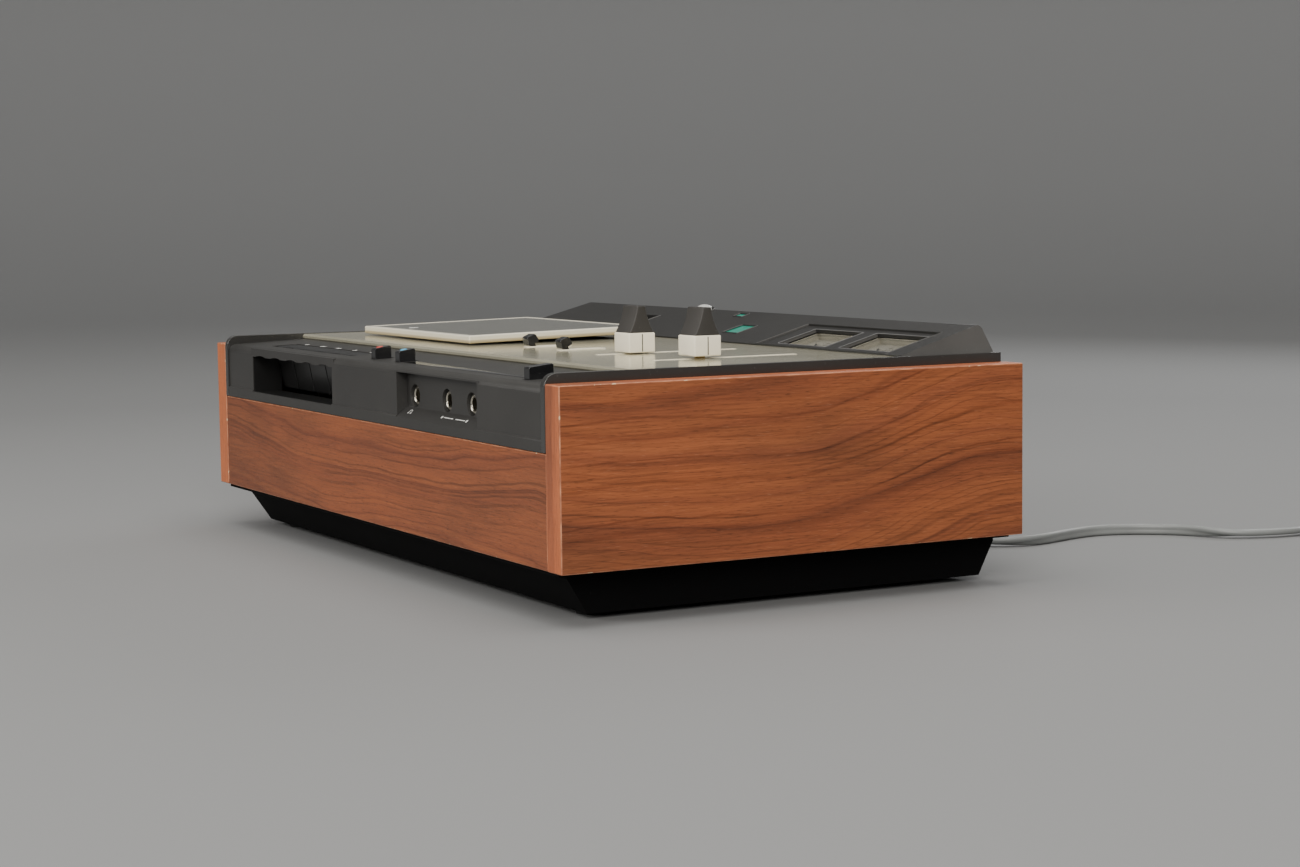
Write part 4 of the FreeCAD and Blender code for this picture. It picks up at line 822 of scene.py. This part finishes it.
def make_knob(side):
    """A cream skirt with an index line and a black grip with hollowed faces."""
    low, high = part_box(f"fader_knob_{side}")
    middle, body = (low + high) / 2, f"fader_{side}"
    top = low.z + SKIRT_HIGH
    bm = bmesh.new()
    block(bm, low, (high.x, high.y, top))
    skirt = from_bmesh(f"knob_skirt_{side}", bm, "knob_cream", body, bevel=0.7 * MM)
    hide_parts(f"fader_knob_{side}")

    tall = high.z - top
    bulge = 2 * GRIP_WAIST - (GRIP_FOOT + GRIP_RIDGE) / 2
    face = []
    for i in range(13):
        t = i / 12
        reach = (1 - t) ** 2 * GRIP_FOOT + 2 * t * (1 - t) * bulge + t * t * GRIP_RIDGE
        face.append((reach, t * tall))
    outline = [(middle.y + y, top + z) for y, z in face]
    outline += [(middle.y - y, top + z) for y, z in reversed(face)]
    bm = bmesh.new()
    prism(bm, outline, low.x + 0.5 * MM, high.x - 0.5 * MM, SIDEWAYS)
    from_bmesh(f"knob_grip_{side}", bm, "grip", body, bevel=0.45 * MM)

    bm = bmesh.new()
    for x in (low.x, high.x):
        block(bm, (x - 0.04 * MM, middle.y - 0.25 * MM, low.z + 0.6 * MM),
              (x + 0.04 * MM, middle.y + 0.25 * MM, top - 0.6 * MM))
    from_bmesh(f"knob_index_{side}", bm, "ink", body)


LEVEL_SLOT = (-37.5 * MM, 39.5 * MM)        # its front and rear ends


def make_slot_trims():
    """Bright borders round the level slots and the toggle slots."""
    plate_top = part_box("top_plate")[1].z
    front, rear = LEVEL_SLOT
    bm = bmesh.new()
    for side in ("left", "right"):
        tang_low, tang_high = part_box(f"fader_tang_{side}")
        x = (tang_low.x + tang_high.x) / 2
        at = Matrix.Translation((x, (front + rear) / 2, plate_top))
        bezel(bm, 1.2 * MM, (rear - front) / 2, 0.7 * MM, -0.3 * MM, 0.16 * MM, at, 0.3 * MM,
              0.12 * MM)
    from_bmesh("level_slot_trim", bm, "cream", ROOT)
    bm = bmesh.new()
    for side in ("left", "right"):
        x, y, _ = JOINTS[f"toggle_{side}_throw"]["pos_m"]
        at = Matrix.Translation((x, y, plate_top))
        bezel(bm, 1.7 * MM, 11 * MM, 2.0 * MM, -0.3 * MM, 0.45 * MM, at, 0.5 * MM, 0.25 * MM)
    from_bmesh("toggle_bezels", bm, "cream", ROOT)


PADDLE_RISE, PADDLE_FOOT = 1.4 * MM, 111.2 * MM
MARK_BACK = 0.42                            # a mark's place, as a share of its paddle's length


def make_paddle_marks():
    """The red and blue marks on two of the front paddles."""
    for colour in ("red", "blue"):
        low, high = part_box(f"lever_{colour}")
        climb = math.atan2(PADDLE_RISE, high.y - low.y)
        back = MARK_BACK * (high.y - low.y)
        at = tilted(((low.x + high.x) / 2, low.y + back, PADDLE_FOOT + back * math.tan(climb)), climb)
        bm = bmesh.new()
        lathe(bm, in_mm([(0, 0.34), (1.2, 0.30), (1.7, 0.16), (1.8, -0.2)]), at, 32)
        from_bmesh(f"paddle_mark_{colour}", bm, colour, f"lever_{colour}")


STRIP_SLOPE = math.atan2(1.8, 45)
SYMBOL_ROW = -93.4 * MM


def on_strip(x, y):
    """A matrix on the black strip in front of the plate, which climbs gently to the rear."""
    rear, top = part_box("top_plate")[0].y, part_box("front_fascia")[1].z
    return tilted((x, y, top + (y - rear) * math.tan(STRIP_SLOPE)), STRIP_SLOPE)


def make_key_symbols():
    """A generic transport symbol behind each key, and the glossy strip beside them."""
    triangle = [(-1.3, -1.5), (1.5, 0.0), (-1.3, 1.5)]
    square = [(-1.3, -1.3), (1.3, -1.3), (1.3, 1.3), (-1.3, 1.3)]
    flipped = [(-u, v) for u, v in reversed(triangle)]
    drawings = {"record": [(0, disc(1.4))], "rewind": [(-1.6, flipped), (1.6, flipped)],
                "fast_forward": [(-1.6, triangle), (1.6, triangle)],
                "play": [(0, triangle)], "stop": [(0, square)]}
    bm = bmesh.new()
    for name, shapes in drawings.items():
        low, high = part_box(f"key_{name}")
        at = on_strip((low.x + high.x) / 2, SYMBOL_ROW)
        for shift, outline in shapes:
            prism(bm, in_mm([(u + shift, v) for u, v in outline]), -0.02 * MM, 0.05 * MM, at)
    from_bmesh("key_symbols", bm, "print", ROOT)
    bm = bmesh.new()
    prism(bm, in_mm([(-70, -3.4), (69, -3.4), (69, -2.4), (30, 0.6), (-70, 3.2)]),
          -0.05 * MM, 0.14 * MM, on_strip(97 * MM, -107.6 * MM))
    from_bmesh("strip_inlay", bm, "inlay", ROOT, bevel=0.06 * MM)


def make_lid_mark():
    """A small plain ring on the lid's panel."""
    low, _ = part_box("lid_window")
    back, thick = 9 * MM, 1.6 * MM
    at = tilted((low.x + 38 * MM, low.y + back, low.z + thick + back * math.tan(LID_TILT)), LID_TILT)
    bm = bmesh.new()
    arc_strip(bm, 2.0 * MM, 2.7 * MM, 0, 359.9, -0.05 * MM, 0.08 * MM, at, 40)
    from_bmesh("lid_mark", bm, "print", "lid")


# ---------------------------------------------------------------- jacks and rear

PRINT = (-0.03 * MM, 0.05 * MM)             # how deep and how high a printed mark stands
SILL_TILT = math.atan2(6.0, 7.6)
SILL_AHEAD, SILL_BELOW = 4.4 * MM, 7.75 * MM


def make_jacks():
    """Rounded nuts round the phone jacks, with plain marks on the sill below."""
    bm, marks = bmesh.new(), bmesh.new()
    profile = in_mm([(3.25, -6), (3.25, -0.2), (3.5, 0.25), (3.9, 0.45), (4.3, 0.35), (4.6, 0.0),
                     (4.75, -0.5), (4.75, -1.4)])
    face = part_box("phone_jacks")[0].y
    for name in ("jack_phones", "jack_mic_left", "jack_mic_right"):
        x, y, z = MOUNTS[name]["pos_m"]
        lathe(bm, profile, pointing((x, face, z), (0, -1, 0)), 40)
        at = tilted((x, face - SILL_AHEAD, z - SILL_BELOW), SILL_TILT)
        if name == "jack_phones":
            arc_strip(marks, 1.2 * MM, 1.6 * MM, -100, 100, *PRINT, at)
            for side in (-1, 1):
                pad = [(side * 1.4 + u, v - 0.7) for u, v in disc(0.55, 12)]
                prism(marks, in_mm(pad), *PRINT, at)
        else:
            prism(marks, in_mm(disc(0.85, 20)), *PRINT, at)
            side = 1 if name == "jack_mic_left" else -1
            line = [(2.2, -0.25), (12.5, -0.25), (12.5, 0.25), (2.2, 0.25)]
            prism(marks, in_mm([(u * side, v) for u, v in line]), *PRINT, at)
    from_bmesh("jack_nuts", bm, "nickel", ROOT)
    from_bmesh("jack_marks", marks, "print", ROOT)


RATING_AT = (125 * MM, 62 * MM, 0)
SCREW_INSET, MIDDLE_SCREWS = 3.2 * MM, (-60 * MM, 70 * MM)


def make_rear_details():
    """Coloured rings, screw slots, a blank plate and the ribs of the strain relief."""
    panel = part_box("rear_panel")[1].y
    rings = {"white": bmesh.new(), "red": bmesh.new()}
    sockets = [MOUNTS[f"phono_{i}"]["pos_m"] for i in (1, 2, 3, 4)]
    upper = max(z for _, _, z in sockets)
    profile = in_mm([(5.65, -0.2), (5.65, 0.8), (5.9, 1.0), (7.0, 1.0), (7.3, 0.7), (7.3, -0.2)])
    for x, _, z in sockets:
        lathe(rings["white" if z == upper else "red"], profile,
              pointing((x, panel, z), REARWARD), 40)
    for colour, bm in rings.items():
        from_bmesh(f"socket_rings_{colour}", bm, colour, ROOT)

    outward = axes(-RIGHT, UP, REARWARD, (0, panel, 0))
    bm = bmesh.new()
    left, right = min(x for x, _, _ in sockets), max(x for x, _, _ in sockets)
    lower = min(z for _, _, z in sockets)
    at = outward @ Matrix.Translation((-(left + right) / 2, (lower + upper) / 2, 0))
    margin = 10 * MM
    bezel(bm, (right - left) / 2 + margin, (upper - lower) / 2 + margin, 0.5 * MM, -0.05 * MM,
          0.06 * MM, at, 2 * MM, 0.02 * MM)
    for z in (lower, upper):
        for i in range(3 if z == upper else 2):
            dot = [(-right - 14 * MM + u, z + (i - 0.5) * 2.4 * MM + v) for u, v in disc(0.6 * MM, 14)]
            prism(bm, dot, -0.05 * MM, 0.06 * MM, outward)
    from_bmesh("rear_marks", bm, "print", ROOT)

    low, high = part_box("rear_screws")
    bm = bmesh.new()
    for x in (low.x + SCREW_INSET, *MIDDLE_SCREWS, high.x - SCREW_INSET):
        for z in (low.z + SCREW_INSET, high.z - SCREW_INSET):
            for long, wide in ((1.5, 0.32), (0.32, 1.5)):
                block(bm, (x - long * MM, high.y - 0.3 * MM, z - wide * MM),
                      (x + long * MM, high.y + 0.03 * MM, z + wide * MM))
    from_bmesh("screw_crosses", bm, "ink", ROOT)

    at = outward @ Matrix.Translation(RATING_AT)
    bm = bmesh.new()
    prism(bm, rounded_loop(34 * MM, 15 * MM, 1.5 * MM), -0.05 * MM, 0.5 * MM, at)
    from_bmesh("rating_plate", bm, "zinc", ROOT, bevel=0.15 * MM)
    bm = bmesh.new()
    for u, v, long in ((-20, 7, 24), (-20, 2, 34), (-20, -3, 34), (-20, -8, 18)):
        rule = [(u, v - 0.35), (u + long, v - 0.35), (u + long, v + 0.35), (u, v + 0.35)]
        prism(bm, in_mm(rule), 0.45 * MM, 0.56 * MM, at)
    from_bmesh("rating_rules", bm, "ink", ROOT)

    low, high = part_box("strain_relief")
    bm = bmesh.new()
    for i in range(6):
        along = 5.5 + 3.4 * i
        radius = 5.8 - 2.0 * along / 28
        at = pointing(((low.x + high.x) / 2, panel + along * MM, (low.z + high.z) / 2), REARWARD)
        lathe(bm, in_mm([(radius - 0.4, -0.9), (radius + 0.45, -0.6), (radius + 0.55, 0),
                         (radius + 0.45, 0.6), (radius - 0.4, 0.9)]), at, 36)
    from_bmesh("relief_ribs", bm, "grey_cord", ROOT)


# ---------------------------------------------------------------- meter bridge

NEEDLE_REACH = 42                           # degrees to either side
PIVOT_UP, PIVOT_DEEP = 8.3 * MM, 6.0 * MM   # the needles' pivots, from the slope's toe and face
DIAL_DEEP = 6.95 * MM


def bridge_face():
    """A matrix on the bridge's slope: its X to the right, its Y uphill from the toe, its Z outwards."""
    joint = JOINTS["needle_left_swing"]
    normal = -Vector(joint["axis"]).normalized()
    uphill = normal.cross(RIGHT)
    pivot = Vector(joint["pos_m"])
    toe = pivot - RIGHT * pivot.x - uphill * PIVOT_UP + normal * PIVOT_DEEP
    return axes(RIGHT, uphill, normal, toe)


def make_meters():
    """Printed dials behind the needles, and borders round the windows, whose pale grey is a painted highlight on
    their bevels.
    """
    face = bridge_face()
    inverse = face.inverted()
    plates, ink, red, borders = (bmesh.new() for _ in range(4))
    for side in ("left", "right"):
        pivot = inverse @ Vector(JOINTS[f"needle_{side}_swing"]["pos_m"])
        at = face @ Matrix.Translation((pivot.x, pivot.y, -DIAL_DEEP))
        window = face @ Matrix.Translation((pivot.x, pivot.y + 9 * MM, 0))
        plate = [(u, v + 9.5 * MM) for u, v in rounded_loop(23 * MM, 12 * MM, 0.5 * MM)]
        prism(plates, plate, 0, 0.25 * MM, at)
        levels = (0.25 * MM, 0.29 * MM)
        arc_strip(ink, 15.0 * MM, 15.3 * MM, -NEEDLE_REACH, 14, *levels, at)
        arc_strip(red, 14.6 * MM, 15.3 * MM, 14, NEEDLE_REACH, *levels, at)
        for angle in range(-NEEDLE_REACH, NEEDLE_REACH + 1, 7):
            tall = 1.9 if angle % 14 == 0 else 1.1
            arc_strip(red if angle > 14 else ink, 15.3 * MM, (15.3 + tall) * MM,
                      angle - 0.45, angle + 0.45, *levels, at, 1)
        for text, angle in (("20", -42), ("10", -24), ("5", -8), ("0", 14), ("3", 36)):
            a = math.radians(90 - angle)
            centre = (18.4 * MM * math.cos(a), 18.4 * MM * math.sin(a))
            add_numeral(red if angle >= 14 else ink, text, 2.4 * MM,
                        lambda u, v, c=centre: at @ Vector((c[0] + u, c[1] + v, levels[1])))
        bezel(borders, 22 * MM, 11.75 * MM, 0.55 * MM, -1.0 * MM, -0.62 * MM, window, 0.4 * MM,
              0.15 * MM)
    from_bmesh("meter_dials", plates, "dial", ROOT)
    from_bmesh("meter_scales", ink, "ink", ROOT)
    from_bmesh("meter_red_zones", red, "red", ROOT)
    from_bmesh("meter_borders", borders, "bevel_highlight_grey", ROOT)


def make_bridge_trim():
    """Raised borders round the meter panel, the counter and the lamps, and the button's collar."""
    face = bridge_face()
    pivots = [JOINTS[f"needle_{side}_swing"]["pos_m"][0] / MM for side in ("left", "right")]
    panel = sum(pivots) / 2 - 5
    bm = bmesh.new()
    # across, uphill, half sizes, rim's width and height, corner, easing
    for x, up, *sizes in ((panel, 17.3, 59, 16.5, 0.7, 0.22, 0.5, 0.15),
                          (-96, 25, 12, 6, 1.1, 0.5, 0.5, 0.25),
                          (25.5, 19.5, 7.5, 6.25, 0.8, 0.35, 0.4, 0.2),
                          (-8, 41, 4.5, 2.25, 0.8, 0.35, 0.4, 0.2)):
        half_u, half_v, wide, high, corner, ease = (v * MM for v in sizes)
        bezel(bm, half_u, half_v, wide, -0.3 * MM, high,
              face @ Matrix.Translation((x * MM, up * MM, 0)), corner, ease)
    from_bmesh("bridge_borders", bm, "bridge", ROOT)
    bm = bmesh.new()
    collar = in_mm([(5.7, -1), (5.7, 0.5), (6.0, 0.8), (6.8, 0.8), (7.1, 0.5), (7.1, -0.4)])
    lathe(bm, collar, face @ Matrix.Translation((-52 * MM, 42.5 * MM, 0)), 40)
    from_bmesh("button_collar", bm, "bridge", ROOT)


def make_counter_digits():
    """White numbers round each of the counter's drums."""
    face = bridge_face()
    spin = Vector(JOINTS["counter_spin"]["pos_m"])
    radius = 6.83 * MM
    low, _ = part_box("counter_drums")
    outward = face.col[2].to_3d()
    uphill = face.col[1].to_3d()
    bm = bmesh.new()
    for drum in range(3):
        centre = spin.copy()
        centre.x = low.x + (3.8 + 6.2 * drum) * MM
        for digit in range(10):
            lean = -math.radians(36 * digit)

            def wrapped(u, v, centre=centre, lean=lean):
                a = lean + v / radius
                return centre + RIGHT * u + (outward * math.cos(a) + uphill * math.sin(a)) * radius

            add_numeral(bm, str(digit), 4.2 * MM, wrapped)
    from_bmesh("counter_digits", bm, "print", "counter_drums")


def make_key_springs():
    """Wound return springs under the keys."""
    low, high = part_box("key_springs")
    reach, count, turns, steps = 2.05 * MM, 5, 9, 14
    pitch = (high.x - low.x - 4.8 * MM) / (count - 1)
    ring = disc(0.34 * MM, 8)
    bm = bmesh.new()
    for i in range(count):
        x, y = low.x + 2.4 * MM + i * pitch, (low.y + high.y) / 2
        rings = []
        for k in range(turns * steps + 1):
            a = 2 * math.pi * k / steps
            share = k / (turns * steps)
            z = low.z + 0.35 * MM + (high.z - low.z - 0.7 * MM) * share
            out = Vector((math.cos(a), math.sin(a), 0))
            centre = Vector((x, y, z)) + out * reach
            rings.append([bm.verts.new(centre + out * u + UP * v) for u, v in ring])
        tube(bm, rings)
    springs = from_bmesh("wound_springs", bm, "chrome", ROOT, smooth=70)
    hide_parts("key_springs")


def make_floor():
    """A floor that curves up into a backdrop all round, painted darker grey near the middle and paler further out:
    painted shade and light that offset how the lamps reach floor and backdrop.
    """
    f = Finish("studio_floor", Roughness=0.85)
    away = f.add("VectorMath", {0: f.place()}, operation="LENGTH").outputs["Value"]
    f.put("Base Color", f.ramp(f.maths("DIVIDE", away, 5.5), [(0.20, (0.245, 0.248, 0.250)),
                                                              (0.85, (0.55, 0.555, 0.56))]))
    SHELF["floor"] = f.material
    bm = bmesh.new()
    lathe(bm, [(0.0, 0.0), (3.0, 0.0), (3.6, 0.05), (4.2, 0.25), (4.7, 0.65), (5.0, 1.2),
               (5.1, 2.0), (5.1, 4.0)], Matrix.Identity(4), 96)
    bmesh.ops.recalc_face_normals(bm, faces=bm.faces)
    floor = add_object("floor", mesh_of("floor", bm, "floor"))


make_camera()
make_materials()
make_cord()
make_floor()
make_lights()
finish_nodes()
for side in ("left", "right"):
    make_knob(side)
make_slot_trims()
make_paddle_marks()
make_key_symbols()
make_lid_mark()
make_jacks()
make_rear_details()
make_meters()
make_bridge_trim()
make_counter_digits()
make_key_springs()
